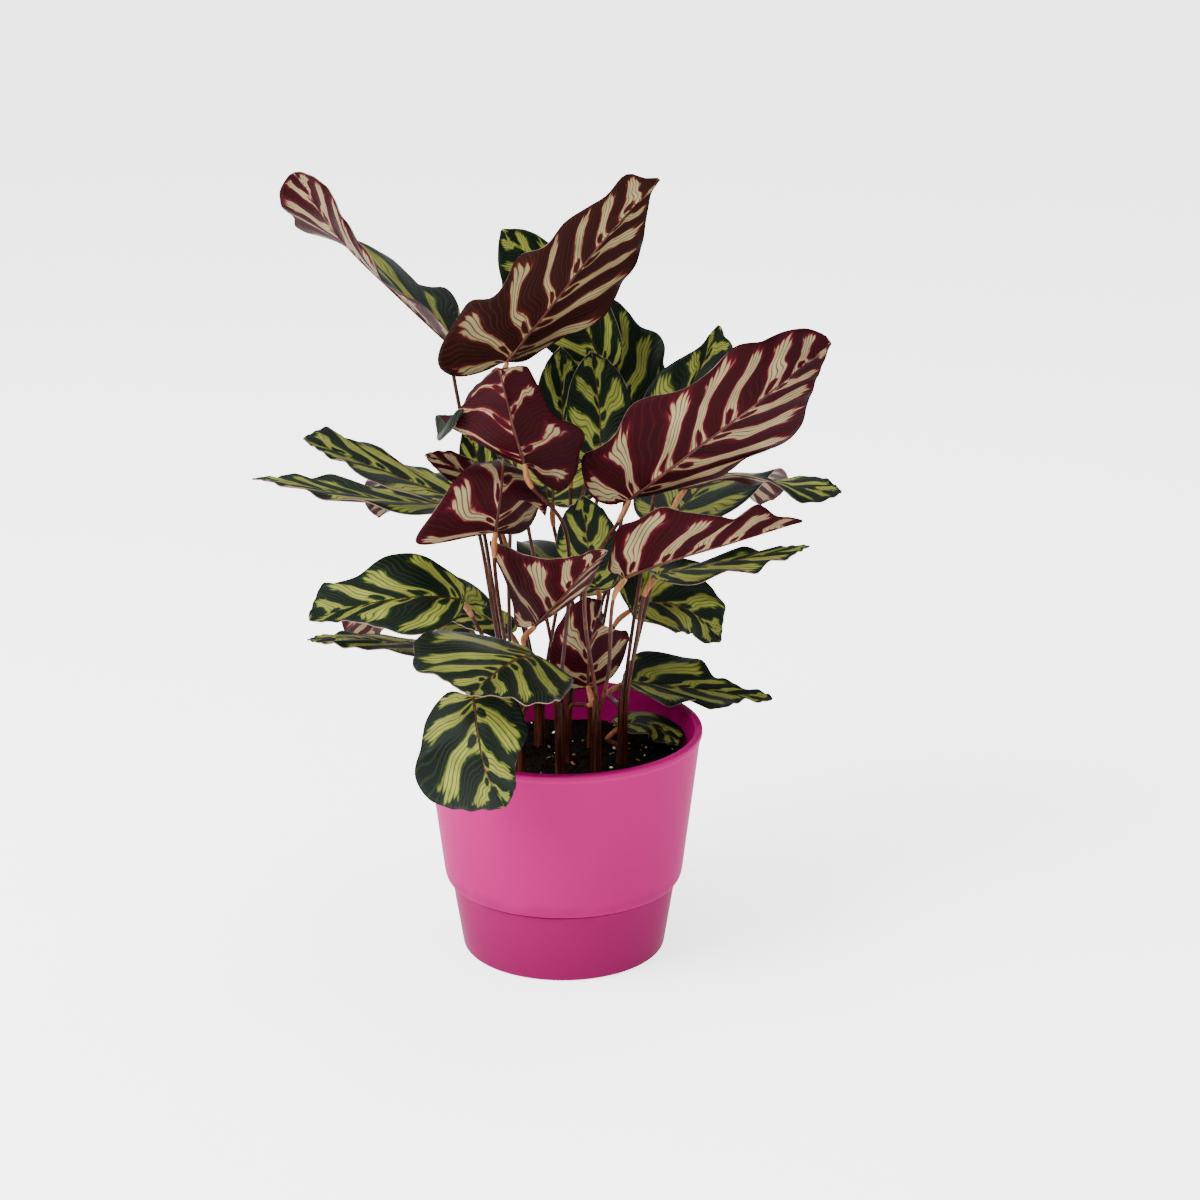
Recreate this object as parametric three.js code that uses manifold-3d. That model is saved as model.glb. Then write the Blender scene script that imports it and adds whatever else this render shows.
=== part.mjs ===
// A potted peacock plant: a glazed pot, the soil in it, eight shoots of slender petioles, and their leaves.
// Millimetres, +Z up. The origin is the centre of the pot's flat underside, and -Y is the front.
import * as THREE from "three";
import { mergeVertices } from "three/addons/utils/BufferGeometryUtils.js";
import Module from "manifold-3d";

const wasm = await Module();
wasm.setup();

// Driving dimensions.
const POT_HEIGHT = 125;
const RIM_RADIUS = 75;
const FOOT_RADIUS = 55;
const STEP_HEIGHT = 39;
const STEP_RADIUS = 61;
const SHOULDER_HEIGHT = 48;
const SHOULDER_RADIUS = 65.5;
const WALL = 4;
const LIP = 4.5;
const SOIL_LEVEL = 105;
const SOIL_LUMPS = 1.6;
const CRUMB = 1.9;
const CRUMB_COUNT = 26;
const CRUMB_CLEARANCE = 5;
const GAP = 0.3;
const BLADE = 0.8;
const BASE_HALF_WIDTH = 1.6;
const TIP_HALF_WIDTH = 0.8;
const PETIOLE_RADIUS = 1.3;
const PETIOLE_REACH = 2.1;
const PETIOLE_DROP = 2;
const PETIOLE_SPREAD = 3;
const PULVINUS_RADIUS = 1.7;
const PULVINUS_RUN = 7.2;
const PULVINUS_RISE = 6;
const SHOOT_FOOT = 86;
const SHEATH_RADIUS = 5.5;
const SHEATH_TIP_RADIUS = 2.5;
const SHEATH_MOUTH = 136;
const SHEATH_TOP = 148;

// How finely things are drawn: rows of a blade from base to tip, strips on each half, steps along a petiole,
// and sides of the round pieces.
const ROWS = 12;
const STRIPS = 2;
const PETIOLE_STEPS = 7;
const POT_SIDES = 40;
const HOLE_SIDES = 12;
const SHEATH_SIDES = 8;
const PETIOLE_SIDES = 5;

// A lateral vein that meets the margin at q, from 0 at the base to 1 at the tip, leaves the midrib at
// q ** (1 / SWEEP). Its place along the midrib then changes with the BOW power of the way out.
const SWEEP = 0.5;
const BOW = 1.2;

// Where each shoot stands in the soil, as [x, y].
const SHOOTS = {
  shoot_front_left: [-22, -20],
  shoot_left: [-28, 6],
  shoot_front: [-1, -29],
  shoot_front_right: [17, -24],
  shoot_right: [31, 0],
  shoot_middle: [2, 2],
  shoot_rear: [15, 25],
  shoot_rear_left: [-13, 26],
};

// One entry a leaf. rib is the midrib from base to tip and up the way the upper face looks, from base to tip.
// Each pair is for the left and the right half, seen from the base along the upper face: half is the greatest
// half width, fold the degrees that the half is raised by at the midrib, and curl the further turn by the
// margin. belly under 1 is widest near the base, taper narrows the half evenly to the tip, lobe draws its
// base back beside the petiole, and point sharpens its tip. left and right, where given, draw the margin of
// that half instead, from base to tip: each place is [mm along the midrib, mm out from it]. fade is the share
// of the fold that is left at the tip. wave is the ripple of the margin: height, count and phase. via is a
// point that the petiole passes.
const LEAVES = {
  leaf_top_middle: {
    shoot: "shoot_middle", via: [-18, 14, 230],
    rib: [[-29, 12, 322], [-7, -12, 354], [21, -25, 392], [49, -30, 424]], up: [[-0.3, 0.9, 0.2]],
    half: [30, 36], fold: [0, 18], curl: [6, 10], wave: [2, 4, 0.2],
    left: [[4, 9], [14, 13], [28, 18], [38, 19], [48, 26], [58, 29], [70, 28], [82, 24], [96, 23], [106, 18],
      [118, 10], [130, 2]],
    right: [[-14, 6], [-27, 16], [-27, 27], [-14, 33], [8, 34], [24, 34], [34, 27], [46, 26], [62, 28],
      [76, 21], [94, 20], [112, 14], [127, 14], [133, 6]],
  },
  leaf_top_left: {
    shoot: "shoot_left", via: [-43, 35, 225],
    rib: [[-57, 38, 324], [-85, 30, 353], [-113, 14, 386], [-134, -2, 423]],
    up: [[0.62, -0.1, 0.77], [0.62, 0.1, 0.75], [0.3, 0.9, 0.2]],
    half: [24, 30], fold: [30, 30], fade: -0.6, wave: [2, 3, 0],
    left: [[4, 10], [20, 20], [40, 24], [60, 24], [80, 22], [94, 20], [106, 18], [120, 16], [128, 12], [132, 5]],
    right: [[6, 22], [17, 35], [25, 30], [33, 27], [43, 36], [54, 31], [66, 30], [80, 30], [96, 28], [104, 22],
      [116, 18], [126, 13], [132, 5]],
  },
  leaf_upper_right: {
    shoot: "shoot_front_right", via: [13, -49, 222],
    rib: [[34, -30, 259], [65, -42, 287], [102, -48, 318], [135, -40, 344]],
    up: [[-0.35, 0.9, 0.2], [-0.35, 0.9, 0.3]], half: [33, 38], fold: [0, 18], curl: [6, 10], wave: [2, 4, 0],
    left: [[10, 3], [20, 6], [28, 15], [40, 25], [50, 26], [62, 25], [74, 31], [84, 33], [98, 30], [106, 24],
      [114, 17], [124, 9], [132, 3]],
    right: [[-8, 3], [-13, 12], [-9, 24], [0, 34], [10, 33], [22, 33], [36, 38], [46, 36], [62, 29], [80, 28],
      [98, 29], [108, 24], [116, 20], [124, 18], [131, 12], [135, 4]],
  },
  leaf_heart_upper: {
    shoot: "shoot_front", via: [2, -50, 250],
    rib: [[-18, -50, 283], [-23, -56, 303], [-27, -55, 320], [-31, -42, 330], [-35, -20, 324]],
    up: [[-0.1, 1, 0.2], [-0.1, 1, -0.1], [0, 0.5, -0.9]], half: [44, 40], fold: [10, 25], curl: [10, 30],
    wave: [2, 3, 0],
    left: [[-12, 5], [-22, 14], [-16, 24], [-5, 29], [3, 34], [12, 30], [18, 24], [26, 20], [38, 18], [50, 16],
      [62, 14], [72, 8]],
    right: [[2, 5], [7, 14], [12, 24], [18, 34], [25, 44], [33, 52], [43, 54], [52, 48], [62, 36], [72, 18]],
  },
  leaf_heart_lower: {
    shoot: "shoot_front_left", via: [-30, -40, 190],
    rib: [[-33, -58, 250], [-30, -66, 270], [-29, -52, 281], [-30, -25, 279], [-33, 5, 266]],
    up: [[-0.1, 1, -0.1], [0, 0.8, -0.5], [0, 0, -1]], half: [34, 37], fold: [30, 0], curl: [30, 0],
    belly: [0.6, 0.45], taper: [0, 1], lobe: [0.1, 0.15], wave: [2, 3, 0],
  },
  leaf_folded_front: {
    shoot: "shoot_front", via: [-5, -42, 160],
    rib: [[-13, -50, 198], [0, -75, 220], [12, -95, 241], [23, -110, 256]], up: [[0.3, 0.95, 0.1]],
    half: [20, 50], fold: [70, 10], wave: [1, 3, 0],
    left: [[4, 8], [14, 15], [28, 19], [44, 18], [60, 13], [76, 7]],
    right: [[-9, 3], [-16, 8], [-6, 15], [2, 23], [8, 31], [14, 41], [20, 47], [26, 40], [33, 34], [43, 25],
      [54, 17], [70, 8], [82, 5]],
  },
  leaf_middle_right: {
    shoot: "shoot_front_right", via: [24, -34, 165],
    rib: [[32, -40, 221], [55, -50, 233], [85, -56, 244], [122, -50, 254]],
    up: [[0, 0.7, 0.7]], half: [28, 28], fold: [40, 40], wave: [2, 3, 0],
    left: [[-2, 8], [5, 17], [14, 24], [26, 28], [38, 25], [52, 21], [64, 15], [78, 13], [90, 6]],
    right: [[-6, 6], [-1, 13], [6, 21], [13, 27], [22, 27], [34, 28], [42, 23], [50, 20], [60, 15], [66, 12],
      [74, 14], [80, 15], [87, 7], [95, 3]],
  },
  leaf_inner_curled: {
    shoot: "shoot_middle", rib: [[13, -5, 149], [14, -11, 171], [17, -11, 187], [20, 1, 195]],
    up: [[-0.3, 0.9, 0.2]], half: [27, 21], fold: [10, 10], curl: [20, 20],
  },
  leaf_low_left: {
    shoot: "shoot_front_left", rib: [[-51, -25, 204], [-73, -35, 209], [-103, -40, 206], [-130, -43, 199]],
    up: [[-0.1, -0.5, 0.9]], half: [33, 31], fold: [10, 10], wave: [1, 3, 0],
    left: [[6, 12], [12, 20], [20, 28], [28, 32], [36, 31], [46, 25], [56, 16], [66, 10], [76, 6]],
    right: [[-3, 10], [2, 16], [9, 22], [16, 27], [26, 29], [38, 27], [48, 22], [56, 18], [67, 17], [72, 19],
      [77, 13], [82, 5]],
  },
  leaf_front_left: {
    shoot: "shoot_front_left", via: [-17, -42, 155],
    rib: [[-13, -69, 189], [-23, -93, 194], [-33, -121, 196], [-43, -146, 195]],
    up: [[0, -0.3, 0.95], [-0.1, -0.5, 0.9]], half: [31, 50], fold: [-25, 0], wave: [1, 3, 0],
    left: [[-6, 10], [-8, 21], [0, 25], [8, 28], [20, 30], [36, 31], [46, 30], [58, 22], [67, 12], [77, 5]],
    right: [[-10, 10], [-12, 26], [-6, 42], [6, 51], [20, 52], [36, 50], [50, 44], [62, 40], [73, 33],
      [72, 26], [75, 16], [80, 8]],
  },
  leaf_over_rim: {
    shoot: "shoot_front_left", via: [-34, -50, 155],
    rib: [[-44, -82, 171], [-41, -98, 156], [-37, -104, 138], [-28, -100, 118]],
    up: [[-0.1, -0.9, 0.3], [-0.1, -1, 0.1]], half: [21, 36], fold: [-5, -5], wave: [1, 3, 0],
    left: [[-3, 7], [1, 17], [8, 22], [16, 24], [26, 24], [36, 18], [46, 14], [56, 10]],
    right: [[-6, 11], [-2, 19], [6, 26], [14, 29], [26, 32], [36, 36], [44, 34], [52, 27], [60, 14]],
  },
  leaf_far_left: {
    shoot: "shoot_left", rib: [[-49, -5, 251], [-74, 0, 259], [-102, 2, 270], [-135, 5, 283]],
    up: [[0.2, -0.15, 1]], half: [28, 28], fold: [5, 5], wave: [2, 4, 0],
    left: [[6, 12], [14, 19], [26, 21], [40, 21], [52, 21], [60, 18], [67, 11], [78, 11], [87, 6]],
    right: [[6, 8], [14, 12], [24, 18], [29, 21], [36, 16], [44, 14], [54, 20], [61, 22], [68, 17], [76, 17],
      [82, 20], [88, 13], [91, 6]],
  },
  leaf_far_left_low: {
    shoot: "shoot_left",
    rib: [[-50, 30, 239], [-87, 30, 242], [-122, 34, 246], [-149, 36, 251], [-167, 40, 252]],
    up: [[0, 0, 1]], half: [22, 22], fold: [5, 5], point: [0.9, 0.9], wave: [3, 4, 0.3],
  },
  leaf_left_sliver: {
    shoot: "shoot_left", rib: [[-34, -4, 256], [-48, -9, 266], [-59, -15, 275], [-70, -20, 281]],
    up: [[0, 1, 0.3]], half: [9, 9], fold: [5, 5],
  },
  leaf_left_inner: {
    shoot: "shoot_rear_left", rib: [[-38, 25, 238], [-42, 25, 256], [-47, 26, 272], [-51, 26, 284]],
    up: [[0, -1, 0.3]], half: [11, 11], fold: [5, 5],
  },
  leaf_rear_peak: {
    shoot: "shoot_rear_left", rib: [[24, 60, 306], [7, 57, 338], [-13, 54, 364], [-32, 53, 384]],
    up: [[-0.3, -0.8, 0.3]], half: [24, 22], fold: [15, 15], wave: [1, 3, 0],
    left: [[6, 12], [20, 20], [50, 27], [68, 26], [77, 20], [85, 15], [92, 8]],
    right: [[6, 12], [20, 18], [50, 20], [70, 15], [80, 13], [89, 9], [94, 4]],
  },
  leaf_rear_broad: {
    shoot: "shoot_rear", via: [25, 40, 190],
    rib: [[36, 66, 262], [32, 74, 292], [24, 78, 322], [14, 75, 345]],
    up: [[0, -1, 0.3]], half: [28, 29], fold: [5, 5], wave: [3, 3, 0.5],
    right: [[4, 14], [16, 24], [30, 28], [40, 25], [48, 28], [56, 26], [62, 18], [70, 15], [79, 11]],
  },
  leaf_inner_pale: {
    shoot: "shoot_middle", rib: [[3, 42, 256], [0, 52, 280], [-1, 52, 303], [-1, 48, 322]],
    up: [[0, -1, 0.3]], half: [15, 15], fold: [5, 5],
  },
  leaf_inner_dark: {
    shoot: "shoot_middle", rib: [[20, 30, 262], [20, 36, 284], [18, 36, 304], [15, 32, 323]],
    up: [[0, -1, 0.3]], half: [18, 18], fold: [5, 5],
  },
  leaf_rear_right: {
    shoot: "shoot_right", rib: [[54, 36, 270], [66, 45, 296], [76, 48, 316], [83, 45, 334]],
    up: [[-0.2, -1, 0.3]], half: [20, 24], fold: [15, 15], wave: [1, 3, 0],
    left: [[4, 12], [16, 20], [30, 20], [38, 17], [48, 11], [58, 5], [66, 3]],
    right: [[4, 12], [18, 22], [36, 24], [50, 20], [60, 17], [66, 13], [69, 6]],
  },
  leaf_far_right_strap: {
    shoot: "shoot_right", rib: [[64, 28, 250], [94, 34, 255], [127, 36, 248], [149, 30, 247]],
    up: [[0, 0.38, 1], [0, 0.36, 1], [0, -0.9, 0.8]], half: [17, 17], fold: [-5, -5],
  },
  leaf_far_right_edge: {
    shoot: "shoot_right", rib: [[49, 0, 210], [73, 5, 213], [102, 10, 217], [131, 10, 223]],
    up: [[0, 0.05, 1]], half: [20, 20], fold: [-5, -5], wave: [3, 4, 0],
  },
  leaf_low_right: {
    shoot: "shoot_rear", rib: [[36, 34, 180], [53, 46, 180], [72, 53, 171], [87, 53, 155]],
    up: [[0, -0.5, 0.8]], half: [28, 25], fold: [4, 4], wave: [1, 3, 0],
    left: [[2, 14], [12, 26], [24, 30], [36, 28], [44, 22], [52, 18], [58, 10], [61, 5]],
    right: [[-2, 8], [6, 17], [14, 25], [22, 24], [34, 20], [46, 14], [58, 10], [62, 5]],
  },
  leaf_rim_right: {
    shoot: "shoot_right", rib: [[32, 30, 140], [58, 36, 135], [88, 34, 132], [114, 28, 130]],
    up: [[0, -0.1, 1]], half: [28, 26], fold: [18, 0], wave: [2, 4, 0],
    left: [[4, 10], [12, 22], [22, 26], [32, 27], [42, 22], [50, 13], [58, 10], [66, 5], [76, 5], [81, 4]],
    right: [[4, 12], [12, 20], [24, 25], [38, 20], [44, 15], [52, 20], [58, 22], [64, 17], [68, 8], [72, 3],
      [78, 7], [82, 3]],
  },
  leaf_low_left_shade: {
    shoot: "shoot_left", rib: [[-58, -8, 172], [-84, -12, 176], [-112, -15, 180], [-134, -18, 180]],
    up: [[0, 0.1, 1]], half: [20, 20], fold: [-5, -5],
  },
  leaf_in_pot: {
    shoot: "shoot_right", rib: [[30, 14, 120], [44, 22, 119], [55, 20, 114], [62, 8, 111]],
    up: [[0, -0.2, 1]], half: [13, 13], fold: [-5, -5],
  },
  leaf_inner_olive: {
    shoot: "shoot_middle", rib: [[18, 12, 198], [14, 16, 217], [12, 15, 234], [11, 10, 250]],
    up: [[0, -1, 0.1]], half: [17, 17], fold: [5, 5],
  },
  leaf_inner_bright: {
    shoot: "shoot_rear_left", rib: [[-28, 30, 168], [-38, 34, 173], [-51, 36, 176], [-65, 38, 176]],
    up: [[0, -0.4, 0.9]], half: [11, 11], fold: [-5, -5],
  },
  leaf_rear_high: {
    shoot: "shoot_rear", rib: [[-6, 58, 232], [-6, 92, 262], [-10, 122, 266], [-14, 148, 248]],
    up: [[0, -0.4, 1], [0, 0.3, 1]], half: [36, 36], fold: [8, 8], wave: [2, 3, 0],
  },
  leaf_rear_high_right: {
    shoot: "shoot_rear", via: [24, 47, 188],
    rib: [[56, 46, 224], [82, 84, 240], [100, 114, 232], [112, 137, 210]],
    up: [[-0.2, -0.3, 1], [0.2, 0.3, 1]], half: [36, 36], fold: [8, 8], wave: [2, 3, 0],
  },
  leaf_rear_high_left: {
    shoot: "shoot_rear_left", rib: [[-34, 54, 220], [-66, 92, 236], [-90, 120, 226], [-108, 138, 202]],
    up: [[0.2, -0.3, 1], [-0.2, 0.3, 1]], half: [36, 36], fold: [8, 8], wave: [2, 3, 0],
  },
  leaf_rear_low: {
    shoot: "shoot_rear", rib: [[4, 60, 180], [8, 98, 194], [8, 130, 182], [6, 150, 154]],
    up: [[0, -0.3, 1], [0, 0.3, 1]], half: [36, 36], fold: [8, 8], wave: [2, 3, 0],
  },
  leaf_rear_low_left: {
    shoot: "shoot_rear_left", rib: [[-50, 48, 164], [-82, 74, 174], [-104, 96, 158], [-118, 110, 132]],
    up: [[0.2, -0.3, 1], [-0.2, 0.3, 1]], half: [32, 32], fold: [8, 8], wave: [2, 3, 0],
  },
};

// What a leaf has where its entry says nothing else.
const PLAIN_LEAF = {
  fold: [10, 10], curl: [0, 0], belly: [0.85, 0.85], taper: [0, 0], lobe: [0.04, 0.04],
  point: [0.4, 0.4], fade: 1, wave: [0, 3, 0],
};

// Materials.
const glaze = new THREE.MeshStandardMaterial({ color: 0xe1308a, roughness: 0.12, metalness: 0 });
const earth = new THREE.MeshStandardMaterial({ color: 0x231c18, roughness: 0.95, metalness: 0 });
const stalk = new THREE.MeshStandardMaterial({ color: 0x7c4a34, roughness: 0.5, metalness: 0 });
const leafGreen = new THREE.MeshStandardMaterial({ color: 0x6f8f3c, roughness: 0.45, metalness: 0 });

const plant = new THREE.Group();

function addMesh(name, geometry, material) {
  const mesh = new THREE.Mesh(geometry, material);
  mesh.name = name;
  plant.add(mesh);
}

// Solids: a closed geometry becomes one to be joined or cut, and goes back to a geometry afterwards.
function toSolid(geometry) {
  const bare = geometry.index ? geometry.toNonIndexed() : geometry.clone();
  const points = new THREE.BufferGeometry().setAttribute("position", bare.getAttribute("position"));
  const merged = mergeVertices(points, 1e-3);
  return new wasm.Manifold(new wasm.Mesh({
    numProp: 3,
    vertProperties: merged.attributes.position.array,
    triVerts: new Uint32Array(merged.index.array),
  }));
}

function toGeometry(solid) {
  const mesh = solid.getMesh();
  const geometry = new THREE.BufferGeometry();
  geometry.setAttribute("position", new THREE.BufferAttribute(new Float32Array(mesh.vertProperties), 3));
  geometry.setIndex(new THREE.BufferAttribute(new Uint32Array(mesh.triVerts), 1));
  geometry.computeVertexNormals();
  return geometry;
}

// A turned solid about the Z axis. The profile runs from the axis, up the outside and back to the axis.
function turned(profile, sides) {
  const geometry = new THREE.LatheGeometry(profile.map(([r, z]) => new THREE.Vector2(r, z)), sides);
  return geometry.rotateX(Math.PI / 2);
}

// The pot: a foot that widens to a fine step, a rounded shoulder, and a straight wall to a rounded lip.
const OUTSIDE = [
  [0, 0], [FOOT_RADIUS - 2, 0], [FOOT_RADIUS - 0.5, 0.6], [FOOT_RADIUS, 2],
  [STEP_RADIUS, STEP_HEIGHT - 1], [STEP_RADIUS - 0.6, STEP_HEIGHT], [STEP_RADIUS + 1, STEP_HEIGHT + 1],
  [SHOULDER_RADIUS - 1.3, SHOULDER_HEIGHT - 4], [SHOULDER_RADIUS, SHOULDER_HEIGHT],
  [RIM_RADIUS - 1, POT_HEIGHT - LIP], [RIM_RADIUS, POT_HEIGHT - LIP + 1], [RIM_RADIUS, POT_HEIGHT - 1.6],
  [RIM_RADIUS - 0.7, POT_HEIGHT - 0.4], [RIM_RADIUS - WALL / 2, POT_HEIGHT],
];
const INSIDE = [
  [RIM_RADIUS - WALL + 0.5, POT_HEIGHT - 0.5], [RIM_RADIUS - WALL, POT_HEIGHT - 2],
  [SHOULDER_RADIUS - WALL, SHOULDER_HEIGHT], [STEP_RADIUS - WALL, STEP_HEIGHT],
  [FOOT_RADIUS - WALL, WALL + 2], [FOOT_RADIUS - WALL - 2, WALL],
];
addMesh("pot", turned([...OUTSIDE, ...INSIDE, [0, WALL]], POT_SIDES), glaze);

// Inner radius of the pot at a height on its upper wall.
function innerRadius(z) {
  const share = (z - SHOULDER_HEIGHT) / (POT_HEIGHT - 2 - SHOULDER_HEIGHT);
  return THREE.MathUtils.lerp(SHOULDER_RADIUS - WALL, RIM_RADIUS - WALL, share);
}

// A repeatable draw from 0 to 1.
let drawn = 7;
function draw() {
  drawn = (drawn * 16807) % 2147483647;
  return drawn / 2147483647;
}

// How far the soil's surface stands above its lowest level at a place: two crossing ripples of about 30 mm.
function lump(x, y) {
  return SOIL_LUMPS * (1 + (Math.sin(x * 0.21 + y * 0.08) + Math.sin(y * 0.19 - x * 0.12 + 1.3)) / 2);
}

function clearOfShoots(x, y) {
  const standsClear = ([sx, sy]) => Math.hypot(x - sx, y - sy) > SHEATH_RADIUS + CRUMB_CLEARANCE;
  return Object.values(SHOOTS).every(standsClear);
}

// The soil fills the pot to below the lip. Its top is lumpy, carries crumbs and bits of bark, and has a plain
// hole for each shoot.
function soilGeometry() {
  const level = SOIL_LEVEL - 2 * SOIL_LUMPS;
  const edge = innerRadius(level) - 2 * GAP;
  const top = [[edge, level - 1], [edge * 0.8, level], [edge * 0.55, level], [edge * 0.3, level], [0, level]];
  const inside = INSIDE.slice(2).reverse().map(([r, z]) => [r - 2 * GAP, z + GAP]);
  const body = turned([[0, WALL + GAP], ...inside, ...top], POT_SIDES);
  const place = body.getAttribute("position");
  for (let i = 0; i < place.count; i += 1) {
    const [x, y, z] = [place.getX(i), place.getY(i), place.getZ(i)];
    if (z > level - 0.5) place.setZ(i, z + lump(x, y));
  }
  let soil = toSolid(body);
  for (let i = 0; i < CRUMB_COUNT; i += 1) {
    const turn = draw() * 2 * Math.PI;
    const reach = Math.sqrt(draw()) * (edge - 2 * CRUMB);
    const size = CRUMB * (0.6 + 0.7 * draw());
    const spot = [reach * Math.cos(turn), reach * Math.sin(turn)];
    if (!clearOfShoots(...spot)) continue;
    const crumb = new THREE.OctahedronGeometry(size).rotateX(draw()).rotateY(draw()).scale(1.3, 1, 0.8);
    crumb.translate(...spot, level + lump(...spot) - 0.5 * size);
    soil = soil.add(toSolid(crumb));
  }
  const radius = SHEATH_RADIUS + GAP;
  const bore = [[0, SHOOT_FOOT - GAP], [radius, SHOOT_FOOT - GAP], [radius, POT_HEIGHT], [0, POT_HEIGHT]];
  for (const [x, y] of Object.values(SHOOTS)) {
    soil = soil.subtract(toSolid(turned(bore, HOLE_SIDES).translate(x, y, 0)));
  }
  return toGeometry(soil);
}
addMesh("soil", soilGeometry(), earth);

// A leaf's midrib curve and the frame at a fraction x of its length. x may pass the ends a little.
function midrib(leaf) {
  return new THREE.CatmullRomCurve3(leaf.rib.map((p) => new THREE.Vector3(...p)), false, "catmullrom", 0.5);
}

function facing(up, x) {
  const place = x * (up.length - 1);
  const first = Math.min(Math.floor(place), Math.max(up.length - 2, 0));
  const last = Math.min(first + 1, up.length - 1);
  return new THREE.Vector3(...up[first]).lerp(new THREE.Vector3(...up[last]), place - first);
}

function ribFrame(leaf, curve, x) {
  const along = THREE.MathUtils.clamp(x, 0, 1);
  const tangent = curve.getTangentAt(along);
  const origin = curve.getPointAt(along).addScaledVector(tangent, (x - along) * curve.getLength());
  const normal = facing(leaf.up, along);
  normal.addScaledVector(tangent, -normal.dot(tangent)).normalize();
  return { origin, tangent, normal, side: tangent.clone().cross(normal) };
}

// The margin of one half as drawn by its places, from the base of the midrib to its tip.
function drawnMargin(places, length) {
  const ends = [[0, BASE_HALF_WIDTH], ...places, [length, TIP_HALF_WIDTH]];
  return new THREE.CatmullRomCurve3(ends.map(([along, out]) => new THREE.Vector3(along, out, 0)));
}

// The margin of one half at q, as [share of the midrib's length, share of the half width].
function margin(leaf, k, q, length) {
  const places = k ? leaf.right : leaf.left;
  if (places) {
    const place = drawnMargin(places, length).getPointAt(q);
    return [place.x / length, place.y / leaf.half[k]];
  }
  const round = (1 - Math.cos(Math.PI * q)) / 2;
  const back = Math.min(q * 2.4, 1) ** (leaf.lobe[k] > 0 ? 0.6 : 1);
  const x = round + (q - round) * leaf.point[k] * q * q - leaf.lobe[k] * Math.sin(Math.PI * back);
  const narrowed = (1 - 0.25 * leaf.point[k] * q ** 3) * (1 - leaf.taper[k] * x);
  const y = Math.sin(Math.PI * q ** leaf.belly[k]) * narrowed;
  const least = (q < 0.5 ? BASE_HALF_WIDTH : TIP_HALF_WIDTH) / leaf.half[k];
  return [x, Math.max(y, least)];
}

// The point of the blade's middle surface at row q and at t, from -1 on the left margin to 1 on the right
// one, with the direction that is square to the half blade there.
function bladePoint(leaf, curve, q, t) {
  const k = t > 0 ? 1 : 0;
  const out = Math.abs(t);
  const start = q ** (1 / SWEEP);
  const [endX, endY] = margin(leaf, k, q, curve.getLength());
  const x = start + (endX - start) * out ** BOW;
  const y = endY * out;
  const { origin, normal, side } = ribFrame(leaf, curve, x);
  const faded = 1 + (leaf.fade - 1) * THREE.MathUtils.clamp(x, 0, 1);
  const fold = THREE.MathUtils.degToRad(leaf.fold[k]) * faded;
  const curl = THREE.MathUtils.degToRad(leaf.curl[k] || 0.1);
  const across = (leaf.half[k] * (Math.sin(fold + curl * y) - Math.sin(fold))) / curl;
  const [height, count, phase] = leaf.wave;
  const ripple = height * y * y * Math.sin(2 * Math.PI * (count * start + phase + (t > 0 ? 0.4 : 0)));
  const raised = (leaf.half[k] * (Math.cos(fold) - Math.cos(fold + curl * y))) / curl + ripple;
  const point = origin.clone().addScaledVector(side, Math.sign(t) * across).addScaledVector(normal, raised);
  const lean = Math.sign(t) * (fold + curl * y);
  const square = normal.clone().multiplyScalar(Math.cos(lean)).addScaledVector(side, -Math.sin(lean));
  return { point, square };
}

// The blade: two alike faces, split into triangles alike, and a narrow wall round the edge.
function bladeGeometry(leaf) {
  const curve = midrib(leaf);
  const columns = 2 * STRIPS + 1;
  const layer = (ROWS + 1) * columns;
  const places = new Float32Array(2 * layer * 3);
  const faces = [];
  const at = (row, column, face) => face * layer + row * columns + column;
  for (let row = 0; row <= ROWS; row += 1) {
    const q = THREE.MathUtils.lerp(0.02, 1, row / ROWS);
    for (let column = 0; column < columns; column += 1) {
      const { point, square } = bladePoint(leaf, curve, q, column / STRIPS - 1);
      point.clone().addScaledVector(square, BLADE / 2).toArray(places, 3 * at(row, column, 0));
      point.clone().addScaledVector(square, -BLADE / 2).toArray(places, 3 * at(row, column, 1));
    }
  }
  const quad = (a, b, c, d) => faces.push(a, b, c, a, c, d);
  for (let row = 0; row < ROWS; row += 1) {
    for (let column = 0; column < columns - 1; column += 1) {
      const ring = [[row, column], [row, column + 1], [row + 1, column + 1], [row + 1, column]];
      const [a, b, c, d] = ring.map(([r, s]) => at(r, s, 0));
      const [e, f, g, h] = ring.map(([r, s]) => at(r, s, 1));
      quad(a, b, c, d);
      quad(g, f, e, h);
    }
  }
  const edge = [];
  for (let column = 0; column < columns - 1; column += 1) edge.push([0, column]);
  for (let row = 0; row < ROWS; row += 1) edge.push([row, columns - 1]);
  for (let column = columns - 1; column > 0; column -= 1) edge.push([ROWS, column]);
  for (let row = ROWS; row > 0; row -= 1) edge.push([row, 0]);
  edge.forEach(([row, column], i) => {
    const [nextRow, nextColumn] = edge[(i + 1) % edge.length];
    quad(at(row, column, 1), at(nextRow, nextColumn, 1), at(nextRow, nextColumn, 0), at(row, column, 0));
  });
  const geometry = new THREE.BufferGeometry();
  geometry.setAttribute("position", new THREE.BufferAttribute(places, 3));
  geometry.setIndex(faces);
  geometry.computeVertexNormals();
  return geometry;
}

// A round stalk along a curve.
function stalkSolid(curve, radius, steps) {
  const ring = new THREE.Shape();
  for (let i = 0; i < PETIOLE_SIDES; i += 1) {
    const turn = (2 * Math.PI * i) / PETIOLE_SIDES;
    if (i === 0) ring.moveTo(radius, 0);
    else ring.lineTo(radius * Math.cos(turn), radius * Math.sin(turn));
  }
  return toSolid(new THREE.ExtrudeGeometry(ring, { steps, bevelEnabled: false, extrudePath: curve }));
}

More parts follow.
